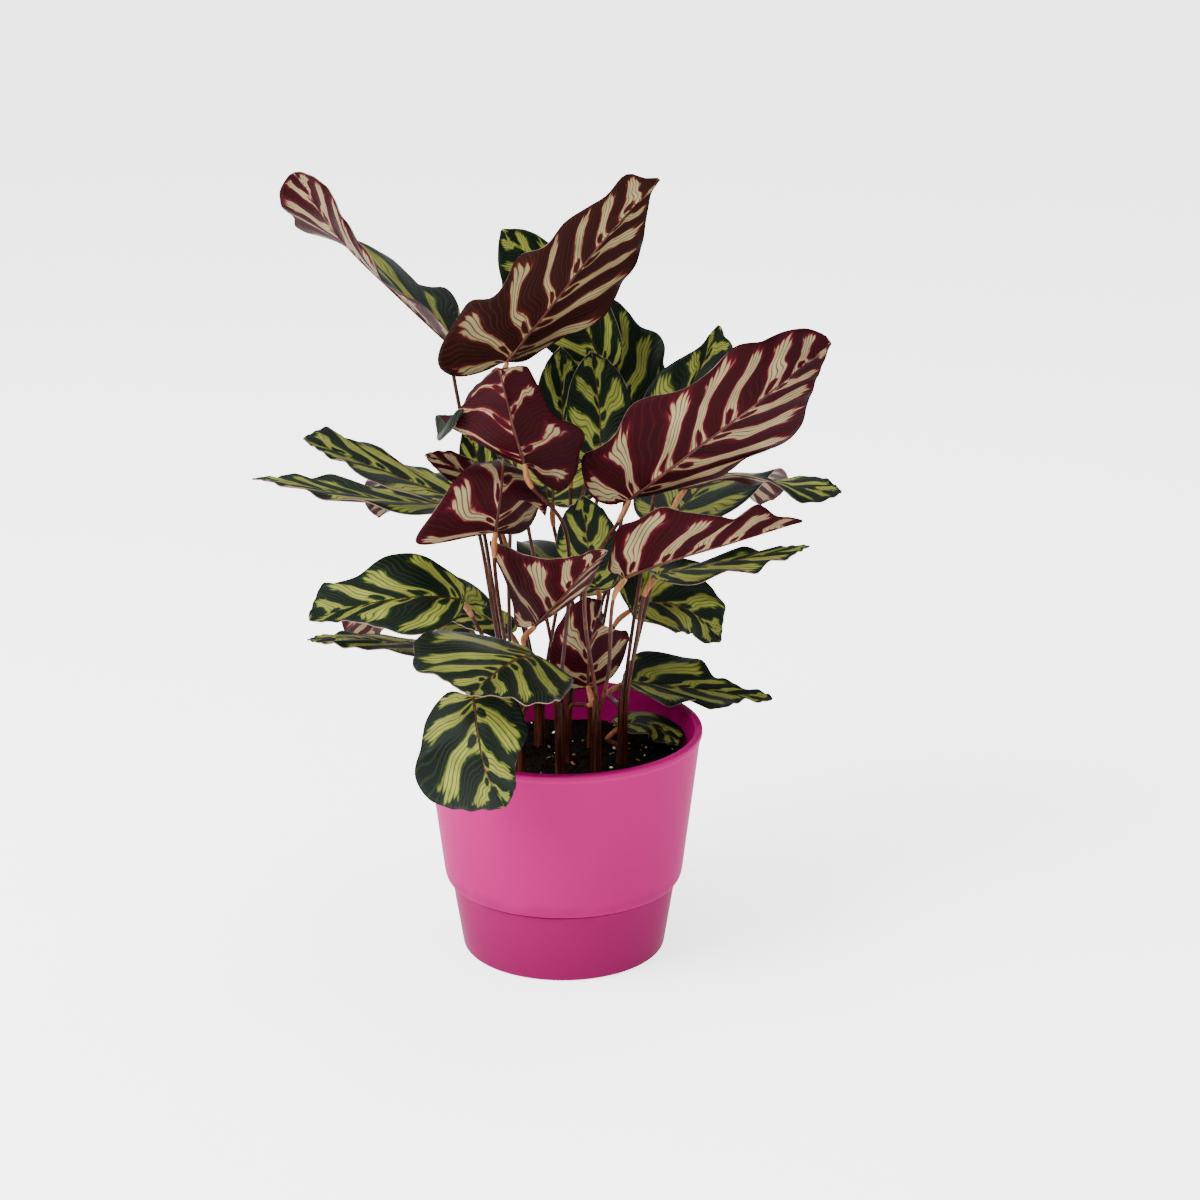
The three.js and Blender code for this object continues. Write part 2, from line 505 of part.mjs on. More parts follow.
// The petiole of a leaf, from inside its shoot's sheath to its seat close under the base of the blade, with the
// swollen pulvinus at its top.
function petioleSolid(leaf) {
  const [footX, footY] = SHOOTS[leaf.shoot];
  const { origin, tangent, normal } = ribFrame(leaf, midrib(leaf), 0);
  const top = origin.clone();
  top.addScaledVector(tangent, PETIOLE_REACH).addScaledVector(normal, -PETIOLE_DROP);
  const neck = top.clone();
  neck.addScaledVector(tangent, -PULVINUS_RUN).addScaledVector(normal, -PULVINUS_RISE);
  const foot = new THREE.Vector3(footX, footY, SHOOT_FOOT + 4);
  const lean = new THREE.Vector3().subVectors(neck, foot).setZ(0).normalize();
  const mouth = foot.clone().addScaledVector(lean, PETIOLE_SPREAD).setZ(Math.min(SHEATH_MOUTH, neck.z));
  const middle = mouth.clone().lerp(neck, 0.5);
  middle.z += 0.08 * (neck.z - mouth.z);
  const via = leaf.via ? new THREE.Vector3(...leaf.via) : middle;
  const path = new THREE.CatmullRomCurve3([foot, mouth, via, neck, top]);
  const swelling = new THREE.LineCurve3(neck, top);
  return stalkSolid(path, PETIOLE_RADIUS, PETIOLE_STEPS).add(stalkSolid(swelling, PULVINUS_RADIUS, 1));
}

// A shoot: its petioles wrap one another in a sheath at the foot, which stands in the soil.
function shootGeometry(name) {
  const [x, y] = SHOOTS[name];
  const sheath = [
    [0, SHOOT_FOOT], [SHEATH_RADIUS, SHOOT_FOOT], [SHEATH_RADIUS, SOIL_LEVEL],
    [SHEATH_TIP_RADIUS, SHEATH_TOP], [0, SHEATH_TOP],
  ];
  let solid = toSolid(turned(sheath, SHEATH_SIDES).translate(x, y, 0));
  for (const leaf of Object.values(LEAVES)) {
    if (leaf.shoot === name) solid = solid.add(petioleSolid({ ...PLAIN_LEAF, ...leaf }));
  }
  return toGeometry(solid);
}

for (const name of Object.keys(SHOOTS)) addMesh(name, shootGeometry(name), stalk);

for (const [name, leaf] of Object.entries(LEAVES)) {
  addMesh(name, bladeGeometry({ ...PLAIN_LEAF, ...leaf }), leafGreen);
}

export default plant;
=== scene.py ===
import bpy
import math
import random
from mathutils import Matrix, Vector, noise


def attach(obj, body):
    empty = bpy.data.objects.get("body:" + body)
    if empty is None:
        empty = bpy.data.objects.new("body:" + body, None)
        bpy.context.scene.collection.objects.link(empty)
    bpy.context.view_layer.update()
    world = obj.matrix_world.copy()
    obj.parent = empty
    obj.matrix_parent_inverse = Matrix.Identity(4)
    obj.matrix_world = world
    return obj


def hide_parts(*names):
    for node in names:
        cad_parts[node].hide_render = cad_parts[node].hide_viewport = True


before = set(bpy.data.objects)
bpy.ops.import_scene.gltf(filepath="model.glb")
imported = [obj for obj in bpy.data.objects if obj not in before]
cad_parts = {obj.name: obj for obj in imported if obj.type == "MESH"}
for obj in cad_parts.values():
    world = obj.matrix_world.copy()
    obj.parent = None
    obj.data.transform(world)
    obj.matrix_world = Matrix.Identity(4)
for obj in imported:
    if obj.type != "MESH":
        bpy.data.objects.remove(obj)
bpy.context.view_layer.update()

# Camera. A short telephoto from a little above the rim of the pot, looking down on the plant.
bpy.ops.object.camera_add(location=(0.0198, -1.383, 0.638), rotation=(math.radians(72.27), 0, 0))
camera = bpy.context.object
camera.data.lens = 82.2
camera.data.sensor_width = 36
bpy.context.scene.camera = camera

# Pot. Earthenware turned on a wheel in one piece: a narrow foot, a fine step where the body begins, a
# rounded shoulder, a straight wall and a thick lip. It is dipped in a glossy magenta glaze, inside and out.
MM = 0.001
POT_HEIGHT = 125
POT_OUTLINE = [  # radius, height and rounding of each corner in mm, up the outside and down the inside
    (0, 0, 0), (55, 0, 2.2), (61, 39, 0.5), (60.3, 39.6, 0.3), (64.4, 40.6, 5.5), (74, 120.8, 1),
    (75, 121.6, 0.9), (75, POT_HEIGHT, 1.6), (70.8, POT_HEIGHT, 1.6), (61.5, 48, 5), (57, 39, 5),
    (51, 4, 6), (0, 4, 0),
]


def rounded(corners, steps=7):
    """The outline as points, with each corner turned into a short curve."""
    line = []
    for i, (r, z, rounding) in enumerate(corners):
        corner = Vector((r, 0, z))
        if rounding == 0:
            line.append(corner)
            continue
        before = Vector((corners[i - 1][0], 0, corners[i - 1][1])) - corner
        after = Vector((corners[i + 1][0], 0, corners[i + 1][1])) - corner
        start = corner + before.normalized() * min(rounding, before.length * 0.45)
        end = corner + after.normalized() * min(rounding, after.length * 0.45)
        for step in range(steps + 1):
            share = step / steps
            line.append(start.lerp(corner, share).lerp(corner.lerp(end, share), share))
    return line


def turn_on_axis(name, outline, steps):
    """A body of revolution, closed at both poles, with its outline in mm."""
    bpy.ops.object.select_all(action="DESELECT")
    mesh = bpy.data.meshes.new(name)
    mesh.from_pydata([p * MM for p in outline], [(i, i + 1) for i in range(len(outline) - 1)], [])
    piece = bpy.data.objects.new(name, mesh)
    bpy.context.collection.objects.link(piece)
    bpy.context.view_layer.objects.active = piece
    piece.select_set(True)
    bpy.ops.object.mode_set(mode="EDIT")
    bpy.ops.mesh.select_all(action="SELECT")
    bpy.ops.mesh.spin(steps=steps, angle=2 * math.pi, center=(0, 0, 0), axis=(0, 0, 1))
    bpy.ops.mesh.select_all(action="SELECT")
    bpy.ops.mesh.remove_doubles(threshold=0.00002)
    bpy.ops.mesh.normals_make_consistent(inside=False)
    bpy.ops.object.mode_set(mode="OBJECT")
    bpy.ops.object.shade_smooth_by_angle(angle=math.radians(40))
    return piece


pot = turn_on_axis("glazed_pot", rounded(POT_OUTLINE), 192)
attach(pot, "root")
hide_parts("pot")


def put(tree, kind, feeds={}, **settings):
    """A shader node with its settings, fed with plain values or with other nodes' outputs."""
    node = tree.nodes.new(kind)
    for setting, value in settings.items():
        setattr(node, setting, value)
    for socket, value in feeds.items():
        if isinstance(value, bpy.types.NodeSocket):
            tree.links.new(value, node.inputs[socket])
        else:
            node.inputs[socket].default_value = value
    return node


def shade(tree, amount, stops):
    """A colour that follows an amount through stops of (place, red, green, blue)."""
    ramp = put(tree, "ShaderNodeValToRGB", {0: amount})
    while len(ramp.color_ramp.elements) < len(stops):
        ramp.color_ramp.elements.new(0.5)
    for element, (place, *colour) in zip(ramp.color_ramp.elements, stops):
        element.position = place
        element.color = (*colour, 1)
    return ramp.outputs["Color"]


def new_finish(name):
    """A material, its node tree and its shader."""
    material = bpy.data.materials.new(name)
    material.use_nodes = True
    return material, material.node_tree, material.node_tree.nodes["Principled BSDF"]


glaze, tree, shader = new_finish("magenta_glaze")
here = put(tree, "ShaderNodeTexCoord").outputs["Object"]
height = put(tree, "ShaderNodeSeparateXYZ", {0: here}).outputs["Z"]
# Painted reflection: the glaze colour is lighter above a ragged line two fifths of the way up the pot and
# darker below it. This stands in for the pale surround reflected on the upper body. The glaze itself is one
# colour.
reflection_line_noise = put(tree, "ShaderNodeTexNoise", {"Vector": here, "Scale": 45, "Detail": 3}).outputs["Fac"]
up_the_pot = put(tree, "ShaderNodeMapRange", {
    "Value": height, "From Min": 0.0, "From Max": POT_HEIGHT * MM,
}).outputs["Result"]
painted_reflection_height = put(tree, "ShaderNodeMath", {0: reflection_line_noise, 1: 0.12, 2: up_the_pot}, operation="MULTIPLY_ADD").outputs[0]
colour = shade(tree, painted_reflection_height, [
    (0.04, 0.11, 0.0, 0.036), (0.36, 0.14, 0.0, 0.046), (0.44, 0.21, 0.0, 0.070), (1.0, 0.24, 0.0, 0.080),
])
tree.links.new(colour, shader.inputs["Base Color"])
wave = put(tree, "ShaderNodeTexNoise", {"Vector": here, "Scale": 28, "Detail": 1}).outputs["Fac"]
peel = put(tree, "ShaderNodeTexNoise", {"Vector": here, "Scale": 420, "Detail": 2}).outputs["Fac"]
skin = put(tree, "ShaderNodeMath", {0: peel, 1: 0.03, 2: wave}, operation="MULTIPLY_ADD").outputs[0]
bump = put(tree, "ShaderNodeBump", {"Height": skin, "Strength": 0.35, "Distance": 0.0012})
tree.links.new(bump.outputs["Normal"], shader.inputs["Normal"])
wipe = put(tree, "ShaderNodeTexNoise", {"Vector": here, "Scale": 18, "Detail": 4}).outputs["Fac"]
dull = put(tree, "ShaderNodeMapRange", {"Value": wipe, "To Min": 0.12, "To Max": 0.24}).outputs["Result"]
tree.links.new(dull, shader.inputs["Roughness"])
shader.inputs["Specular IOR Level"].default_value = 0.0
shader.inputs["Coat Weight"].default_value = 0.1
shader.inputs["Coat Roughness"].default_value = 0.04
pot.data.materials.append(glaze)

# Soil. Dark potting compost, pressed in by hand to two centimetres below the lip. Its top is uneven and
# strewn with clods, slivers of bark and a few grains of white perlite.
SOIL_TOP = 103.4
SOIL_RADIUS = 69.6
SOIL_SIDE = [(0, 4.4), (50, 4.4), (56, 39), (60.5, 48)]  # radius and height up the inside of the pot, mm
SOIL_RINGS = 60
soil_outline = [Vector((r, 0, z)) for r, z in SOIL_SIDE]
soil_outline += [Vector((SOIL_RADIUS * (1 - i / SOIL_RINGS), 0, SOIL_TOP)) for i in range(SOIL_RINGS + 1)]
soil = turn_on_axis("potting_soil", soil_outline, 180)


def soil_height(x, y):
    """Height of the soil's top in metres at a place in metres."""
    broad = noise.noise(Vector((x * 45, y * 45, 2))) * 1.2
    fine = noise.fractal(Vector((x * 260, y * 260, 5)), 0.9, 2, 4) * 0.9
    return (SOIL_TOP + broad + fine) * MM


for vertex in soil.data.vertices:
    if vertex.co.z > 0.1:
        vertex.co.z = soil_height(vertex.co.x, vertex.co.y)
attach(soil, "root")
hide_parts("soil")

compost, tree, shader = new_finish("dark_compost")
here = put(tree, "ShaderNodeTexCoord").outputs["Object"]
grain = put(tree, "ShaderNodeTexNoise", {
    "Vector": here, "Scale": 700, "Detail": 6, "Roughness": 0.7,
}).outputs["Fac"]
crumb = put(tree, "ShaderNodeTexVoronoi", {"Vector": here, "Scale": 520}).outputs["Distance"]
tree.links.new(shade(tree, grain, [
    (0.3, 0.001, 0.0008, 0.0006), (0.55, 0.005, 0.003, 0.002), (0.72, 0.018, 0.010, 0.006),
    (0.85, 0.06, 0.035, 0.02),
]), shader.inputs["Base Color"])
relief = put(tree, "ShaderNodeMath", {0: grain, 1: crumb}, operation="SUBTRACT").outputs[0]
bump = put(tree, "ShaderNodeBump", {"Height": relief, "Strength": 1.0, "Distance": 0.0012})
tree.links.new(bump.outputs["Normal"], shader.inputs["Normal"])
shader.inputs["Roughness"].default_value = 0.95
shader.inputs["Specular IOR Level"].default_value = 0.05
soil.data.materials.append(compost)

perlite, tree, shader = new_finish("perlite")
here = put(tree, "ShaderNodeTexCoord").outputs["Object"]
pores = put(tree, "ShaderNodeTexNoise", {"Vector": here, "Scale": 1500, "Detail": 3}).outputs["Fac"]
tree.links.new(shade(tree, pores, [
    (0.35, 0.26, 0.24, 0.21), (0.6, 0.72, 0.70, 0.66),
]), shader.inputs["Base Color"])
shader.inputs["Roughness"].default_value = 0.9

bark, tree, shader = new_finish("bark_sliver")
here = put(tree, "ShaderNodeTexCoord").outputs["Object"]
fibre = put(tree, "ShaderNodeTexNoise", {"Vector": here, "Scale": 900, "Detail": 4}).outputs["Fac"]
tree.links.new(shade(tree, fibre, [
    (0.35, 0.05, 0.022, 0.010), (0.65, 0.21, 0.11, 0.055),
]), shader.inputs["Base Color"])
shader.inputs["Roughness"].default_value = 0.85

dice = random.Random(11)


def strew(name, material, count, size, stretch):
    """Copies of one rough grain, pressed into the soil's top, joined in one piece. Size is across, in mm."""
    bpy.ops.object.select_all(action="DESELECT")
    bpy.ops.mesh.primitive_ico_sphere_add(subdivisions=1, radius=1)
    first = bpy.context.object
    for vertex in first.data.vertices:
        vertex.co *= dice.uniform(0.7, 1.15)
    for i in range(count):
        one = first if i == 0 else first.copy()
        if i > 0:
            one.data = first.data.copy()
            bpy.context.collection.objects.link(one)
        from_axis = math.sqrt(dice.random()) * (SOIL_RADIUS - 2.5) * MM
        turn = dice.uniform(0, 2 * math.pi)
        x, y = from_axis * math.cos(turn), from_axis * math.sin(turn)
        radius = dice.uniform(*size) / 2 * MM
        one.scale = (radius * dice.uniform(*stretch), radius, radius * dice.uniform(0.5, 0.9))
        one.rotation_euler = (dice.uniform(-0.5, 0.5), dice.uniform(-0.5, 0.5), dice.uniform(0, 6.3))
        one.location = (x, y, soil_height(x, y) + radius * 0.15)
        one.select_set(True)
    bpy.context.view_layer.objects.active = first
    bpy.ops.object.transform_apply(location=True, rotation=True, scale=True)
    bpy.ops.object.join()
    first.name = name
    first.data.materials.append(material)
    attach(first, "root")


strew("soil_clods", compost, 420, (1.2, 4.2), (0.9, 1.4))
strew("soil_perlite", perlite, 46, (0.9, 2.4), (0.9, 1.3))
strew("soil_bark", bark, 60, (1.0, 2.2), (2.0, 4.5))

# Petioles and blades. A leaf grows on a slender petiole that rises from its shoot. Its last centimetre is a
# swollen joint, the pulvinus, and from there the midrib runs on through a thin, waved blade.


class Line:
    """A smooth line through points, walked by its length. It runs on straight past its ends."""

    def __init__(self, points, evenness):
        points = [Vector(p) for p in points]
        ends = [points[0] * 2 - points[1], *points, points[-1] * 2 - points[-2]]
        self.places = []
        for a, b, c, d in zip(ends, ends[1:], ends[2:], ends[3:]):
            s, t, u = ((q - p).length ** evenness for p, q in ((a, b), (b, c), (c, d)))
            leave = ((b - a) / s - (c - a) / (s + t) + (c - b) / t) * t
            reach = ((c - b) / t - (d - b) / (t + u) + (d - c) / u) * t
            for step in range(40):
                w = step / 40
                bend = (c - b) * 3 - leave * 2 - reach
                settle = (b - c) * 2 + leave + reach
                self.places.append(b + leave * w + bend * w ** 2 + settle * w ** 3)
        self.places.append(points[-1])
        self.walked = [0.0]
        for p, q in zip(self.places, self.places[1:]):
            self.walked.append(self.walked[-1] + (q - p).length)
        self.length = self.walked[-1]

    def at(self, share):
        """The point and the direction at a share of the length."""
        along = min(max(share, 0), 1) * self.length
        last = len(self.places) - 1
        low, high = 0, last
        while high - low > 1:
            middle = (low + high) // 2
            low, high = (middle, high) if self.walked[middle] <= along else (low, middle)
        run = (self.places[high] - self.places[low]).normalized()
        before = (self.places[low] - self.places[max(low - 1, 0)] or run).normalized()
        after = (self.places[min(high + 1, last)] - self.places[high] or run).normalized()
        w = (along - self.walked[low]) / (self.walked[high] - self.walked[low])
        direction = (before + run).lerp(run + after, w).normalized()
        past_end = share * self.length - along
        return self.places[low].lerp(self.places[high], w) + direction * past_end, direction


def leaf_frame(rib, up, x):
    """Point, direction, upper side's normal and right side at a share x of the midrib."""
    point, tangent = rib.at(x)
    place = min(max(x, 0), 1) * (len(up) - 1)
    first = min(int(place), max(len(up) - 2, 0))
    normal = Vector(up[first]).lerp(Vector(up[min(first + 1, len(up) - 1)]), place - first)
    normal = (normal - tangent * normal.dot(tangent)).normalized()
    return point, tangent, normal, tangent.cross(normal)


def tube(name, places, radii, material):
    """A round stalk through places in mm, with a radius in mm at each, as a mesh with closed ends."""
    bpy.ops.object.select_all(action="DESELECT")
    path = bpy.data.curves.new(name, "CURVE")
    path.dimensions = "3D"
    path.bevel_depth = MM
    path.bevel_resolution = 4
    path.use_fill_caps = True
    spline = path.splines.new("POLY")
    spline.points.add(len(places) - 1)
    for point, place, radius in zip(spline.points, places, radii):
        point.co = (*(place * MM), 1)
        point.radius = radius
    stalk = bpy.data.objects.new(name, path)
    bpy.context.collection.objects.link(stalk)
    bpy.context.view_layer.objects.active = stalk
    stalk.select_set(True)
    bpy.ops.object.convert(target="MESH")
    stalk = bpy.context.object
    for face in stalk.data.polygons:
        face.use_smooth = True
    stalk.data.materials.clear()
    stalk.data.materials.append(material)
    return stalk


def streaked(name, stops, roughness):
    """The finish of a stalk: fine streaks along it in the tones of the stops."""
    material, tree, shader = new_finish(name)
    here = put(tree, "ShaderNodeTexCoord").outputs["Object"]
    drawn = put(tree, "ShaderNodeMapping", {"Vector": here, "Scale": (900, 900, 40)}).outputs["Vector"]
    streak = put(tree, "ShaderNodeTexNoise", {"Vector": drawn, "Scale": 1, "Detail": 4}).outputs["Fac"]
    patch = put(tree, "ShaderNodeTexNoise", {"Vector": here, "Scale": 35, "Detail": 2}).outputs["Fac"]
    mixed = put(tree, "ShaderNodeMix", {"Factor": 0.5, "A": streak, "B": patch}).outputs["Result"]
    tree.links.new(shade(tree, mixed, stops), shader.inputs["Base Color"])
    bump = put(tree, "ShaderNodeBump", {"Height": streak, "Strength": 0.5, "Distance": 0.0003})
    tree.links.new(bump.outputs["Normal"], shader.inputs["Normal"])
    shader.inputs["Roughness"].default_value = roughness
    shader.inputs["Specular IOR Level"].default_value = 0.1
    return material


petiole_skin = streaked("petiole_skin", [
    (0.32, 0.008, 0.002, 0.001), (0.5, 0.028, 0.006, 0.003), (0.68, 0.09, 0.028, 0.012),
], 0.42)
pulvinus_skin = streaked("pulvinus_skin", [
    (0.3, 0.09, 0.025, 0.009), (0.5, 0.19, 0.07, 0.025), (0.7, 0.32, 0.15, 0.07),
], 0.5)
rib_skin = streaked("underside_midrib", [
    (0.3, 0.014, 0.002, 0.002), (0.5, 0.036, 0.008, 0.005), (0.7, 0.10, 0.035, 0.018),
], 0.45)

# The marking of the blade. Its map runs from vein to vein along the midrib (one unit a pair of blotches) and
# from -1 to 1 across. Long dark blotches and short ones by the midrib take turns, and the pale ground between
# them runs out in teeth before the dark margin. Deep is how far the dark spreads on a leaf.
marking = bpy.data.node_groups.new("peacock_marking", "ShaderNodeTree")
for socket in ("Vein", "Across", "Deep"):
    marking.interface.new_socket(socket, in_out="INPUT", socket_type="NodeSocketFloat")
for socket in ("Dark", "Line", "Ladder"):
    marking.interface.new_socket(socket, in_out="OUTPUT", socket_type="NodeSocketFloat")
given = marking.nodes.new("NodeGroupInput").outputs
result = marking.nodes.new("NodeGroupOutput").inputs


def calc(operation, *values):
    """One step of arithmetic in the marking."""
    return put(marking, "ShaderNodeMath", dict(enumerate(values)), operation=operation).outputs[0]


def band(amount, low, high):
    """0 below low, 1 above high and smooth between."""
    feeds = {"Value": amount, "From Min": low, "From Max": high}
    return put(marking, "ShaderNodeMapRange", feeds, interpolation_type="SMOOTHSTEP").outputs["Result"]


out = calc("ABSOLUTE", given["Across"])
right_side = calc("GREATER_THAN", given["Across"], 0)
bend_map = put(marking, "ShaderNodeCombineXYZ", {
    "X": calc("MULTIPLY", given["Vein"], 0.7), "Y": calc("MULTIPLY", given["Across"], 1.6),
}).outputs[0]
bend = put(marking, "ShaderNodeTexNoise", {"Vector": bend_map, "Scale": 1, "Detail": 1}).outputs["Fac"]
straight = calc("MULTIPLY_ADD", right_side, 0.37, given["Vein"])
vein = calc("MULTIPLY_ADD", calc("SUBTRACT", bend, 0.5), 0.9, straight)
number = calc("FLOOR", vein)
spot = put(marking, "ShaderNodeCombineXYZ", {"X": number, "Y": right_side}).outputs[0]
chance = put(marking, "ShaderNodeTexWhiteNoise", {"Vector": spot}, noise_dimensions="2D")
draws = put(marking, "ShaderNodeSeparateXYZ", {0: chance.outputs["Color"]}).outputs
ragged_map = put(marking, "ShaderNodeCombineXYZ", {
    "X": calc("MULTIPLY", vein, 5), "Y": calc("MULTIPLY", given["Across"], 5),
}).outputs[0]
ragged = calc("SUBTRACT", put(marking, "ShaderNodeTexNoise", {
    "Vector": ragged_map, "Scale": 1.6, "Detail": 4,
}).outputs["Fac"], 0.5)


def oval(beside, centre, reach, width, bluntness):
    """How far inside an oval blotch a place lies, in units of the map, and below 0 outside."""
    share = calc("DIVIDE", calc("SUBTRACT", out, centre), reach)
    core = calc("POWER", calc("MAXIMUM", calc("SUBTRACT", 1, calc("MULTIPLY", share, share)), 0), bluntness)
    grown = calc("SUBTRACT", calc("MULTIPLY", core, calc("ADD", width, 0.04)), 0.04)
    return calc("SUBTRACT", grown, calc("ABSOLUTE", beside))


beside_large = calc("SUBTRACT", calc("SUBTRACT", vein, number), 0.5)
spread = calc("MULTIPLY_ADD", draws["Z"], 0.08, calc("MULTIPLY_ADD", given["Deep"], 0.14, 0.235))
large = oval(beside_large, calc("MULTIPLY_ADD", draws["X"], 0.04, 0.42), 0.62, spread, 0.55)
half_way = calc("ADD", vein, 0.5)
beside_small = calc("SUBTRACT", calc("SUBTRACT", half_way, calc("FLOOR", half_way)), 0.5)
small = oval(
    beside_small, 0.13, calc("MULTIPLY_ADD", draws["Y"], 0.06, 0.08),
    calc("MULTIPLY_ADD", draws["X"], 0.07, 0.07), 0.5,
)
fine = calc("MULTIPLY", vein, 9)
fine_number = calc("FLOOR", fine)
from_middle = calc("ABSOLUTE", calc("SUBTRACT", calc("SUBTRACT", fine, fine_number), 0.5))
between = calc("MULTIPLY", from_middle, 2)
tooth = put(marking, "ShaderNodeTexWhiteNoise", {"W": fine_number}, noise_dimensions="1D").outputs["Value"]
fray = calc("MULTIPLY_ADD", tooth, 0.09, calc("MULTIPLY", calc("SUBTRACT", 1, between), 0.07))
fray = calc("SUBTRACT", fray, calc("MULTIPLY", calc("ABSOLUTE", beside_small), 0.5))
margin = calc("SUBTRACT", out, calc("ADD", fray, calc("MULTIPLY_ADD", given["Deep"], -0.12, 0.88)))
dark = calc("MULTIPLY_ADD", ragged, 0.11, calc("MAXIMUM", calc("MAXIMUM", large, small), margin))
dark = calc("MAXIMUM", dark, calc("MULTIPLY", calc("SUBTRACT", 0.022, out), 5))
marking.links.new(calc("MULTIPLY_ADD", dark, 5, 0.5), result["Dark"])
marking.links.new(band(between, 0.62, 0.94), result["Line"])
rung = calc("MULTIPLY_ADD", out, 46, calc("MULTIPLY", tooth, 7))
rung = calc("SUBTRACT", rung, calc("FLOOR", rung))
marking.links.new(band(calc("ABSOLUTE", calc("SUBTRACT", rung, 0.5)), 0.34, 0.48), result["Ladder"])


def blade_finish(name, ground_stops, backlit_stops, line_colour, line_strength, roughness, sheen):
    """One face of the blade in its own tones, from the pale ground to the dark blotches."""
    material, tree, shader = new_finish(name)
    veins_map = put(tree, "ShaderNodeUVMap", uv_map="veins").outputs[0]
    veins = put(tree, "ShaderNodeSeparateXYZ", {0: veins_map}).outputs
    marking_and_backlight_map = put(tree, "ShaderNodeUVMap", uv_map="nature").outputs[0]
    nature = put(tree, "ShaderNodeSeparateXYZ", {0: marking_and_backlight_map}).outputs
    group = put(tree, "ShaderNodeGroup", node_tree=marking)
    tree.links.new(veins["X"], group.inputs["Vein"])
    tree.links.new(veins["Y"], group.inputs["Across"])
    tree.links.new(nature["X"], group.inputs["Deep"])
    here = put(tree, "ShaderNodeTexCoord").outputs["Object"]
    # The second set of stops is the painted backlight: browner, duller tones for light shining through the
    # blade from behind. They are mixed in as far as a leaf is marked backlit.
    ground = put(tree, "ShaderNodeMix", {
        "Factor": nature["Y"], 6: shade(tree, group.outputs["Dark"], ground_stops),
        7: shade(tree, group.outputs["Dark"], backlit_stops),
    }, data_type="RGBA").outputs[2]
    cloud = put(tree, "ShaderNodeTexNoise", {"Vector": here, "Scale": 60, "Detail": 3}).outputs["Fac"]
    tone = put(tree, "ShaderNodeMapRange", {
        "Value": cloud, "From Min": 0.3, "From Max": 0.7, "To Min": 0.75, "To Max": 1.15,
    }).outputs["Result"]
    clouded = put(tree, "ShaderNodeVectorMath", {0: ground, "Scale": tone}, operation="SCALE").outputs[0]
    rungs = put(tree, "ShaderNodeMath", {0: group.outputs["Ladder"], 1: 0.3}, operation="MULTIPLY").outputs[0]
    lines = put(tree, "ShaderNodeMath", {0: group.outputs["Line"], 1: rungs}, operation="MAXIMUM").outputs[0]
    strength = put(tree, "ShaderNodeMath", {0: lines, 1: line_strength}, operation="MULTIPLY").outputs[0]
    veined = put(tree, "ShaderNodeMix", {
        "Factor": strength, 6: clouded, 7: (*line_colour, 1),
    }, data_type="RGBA").outputs[2]
    tree.links.new(veined, shader.inputs["Base Color"])
    relief = put(tree, "ShaderNodeMath", {
        0: group.outputs["Ladder"], 1: 0.25, 2: group.outputs["Line"],
    }, operation="MULTIPLY_ADD").outputs[0]
    bump = put(tree, "ShaderNodeBump", {"Height": relief, "Strength": 0.5, "Distance": 0.0003})
    bump.invert = True
    tree.links.new(bump.outputs["Normal"], shader.inputs["Normal"])
    rough = put(tree, "ShaderNodeMapRange", {
        "Value": cloud, "To Min": roughness - 0.06, "To Max": roughness + 0.08,
    }).outputs["Result"]
    tree.links.new(rough, shader.inputs["Roughness"])
    shader.inputs["Specular IOR Level"].default_value = sheen
    return material


upper_face = blade_finish("leaf_upper_face", [
    (0.0, 0.17, 0.18, 0.032), (0.30, 0.105, 0.12, 0.015), (0.44, 0.025, 0.038, 0.006),
    (0.54, 0.002, 0.007, 0.003), (0.8, 0.001, 0.003, 0.0015), (1.0, 0.001, 0.0025, 0.0015),
], [
    (0.0, 0.13, 0.125, 0.05), (0.30, 0.09, 0.09, 0.03), (0.44, 0.03, 0.035, 0.012),
    (0.54, 0.005, 0.007, 0.004), (0.8, 0.004, 0.006, 0.004), (1.0, 0.003, 0.004, 0.003),
], (0.006, 0.016, 0.003), 0.75, 0.45, 0.08)
under_face = blade_finish("leaf_under_face", [
    (0.0, 0.20, 0.17, 0.085), (0.28, 0.20, 0.14, 0.075), (0.40, 0.13, 0.034, 0.03),
    (0.50, 0.040, 0.001, 0.005), (0.8, 0.019, 0.0, 0.002), (1.0, 0.014, 0.0, 0.0015),
], [
    (0.0, 0.155, 0.135, 0.065), (0.28, 0.15, 0.11, 0.05), (0.40, 0.09, 0.026, 0.016),
    (0.50, 0.020, 0.002, 0.001), (0.8, 0.009, 0.0015, 0.0003), (1.0, 0.007, 0.001, 0.0002),
], (0.02, 0.002, 0.002), 0.85, 0.55, 0.04)
leaf_rim, tree, shader = new_finish("leaf_rim")
here = put(tree, "ShaderNodeTexCoord").outputs["Object"]
rim_mottle = put(tree, "ShaderNodeTexNoise", {"Vector": here, "Scale": 90, "Detail": 3}).outputs["Fac"]
# The rim is painted from dark maroon to tan. This is partly the leaf's thin brownish edge and partly a
# painted highlight along it.
tree.links.new(shade(tree, rim_mottle, [
    (0.35, 0.035, 0.016, 0.010), (0.65, 0.14, 0.075, 0.045),
]), shader.inputs["Base Color"])
shader.inputs["Roughness"].default_value = 0.6

ROWS, COLUMNS = 70, 28  # faces along a blade and across it
VEIN_SPACING = 22
BASE_HALF_WIDTH = 1.6
TIP_HALF_WIDTH = 0.8
BLADE_THICKNESS = 0.6
BOW = 1.2  # how far the side veins bow toward the tip
CRIMP = 2.4  # height of the crumples at the margin
QUILT = 0.3  # height of the swell between two side veins
GROOVE_DEPTH, GROOVE_HALF_WIDTH = 0.5, 1.6
RIDGE_STEPS = 26
grown = []


def drawn_margin(places, length):
    """A margin through places of (mm along the midrib, mm out from it), or none."""
    if places is None:
        return None
    inner = [(along, out, 0) for along, out in places]
    return Line([(0, BASE_HALF_WIDTH, 0), *inner, (length, TIP_HALF_WIDTH, 0)], 0)


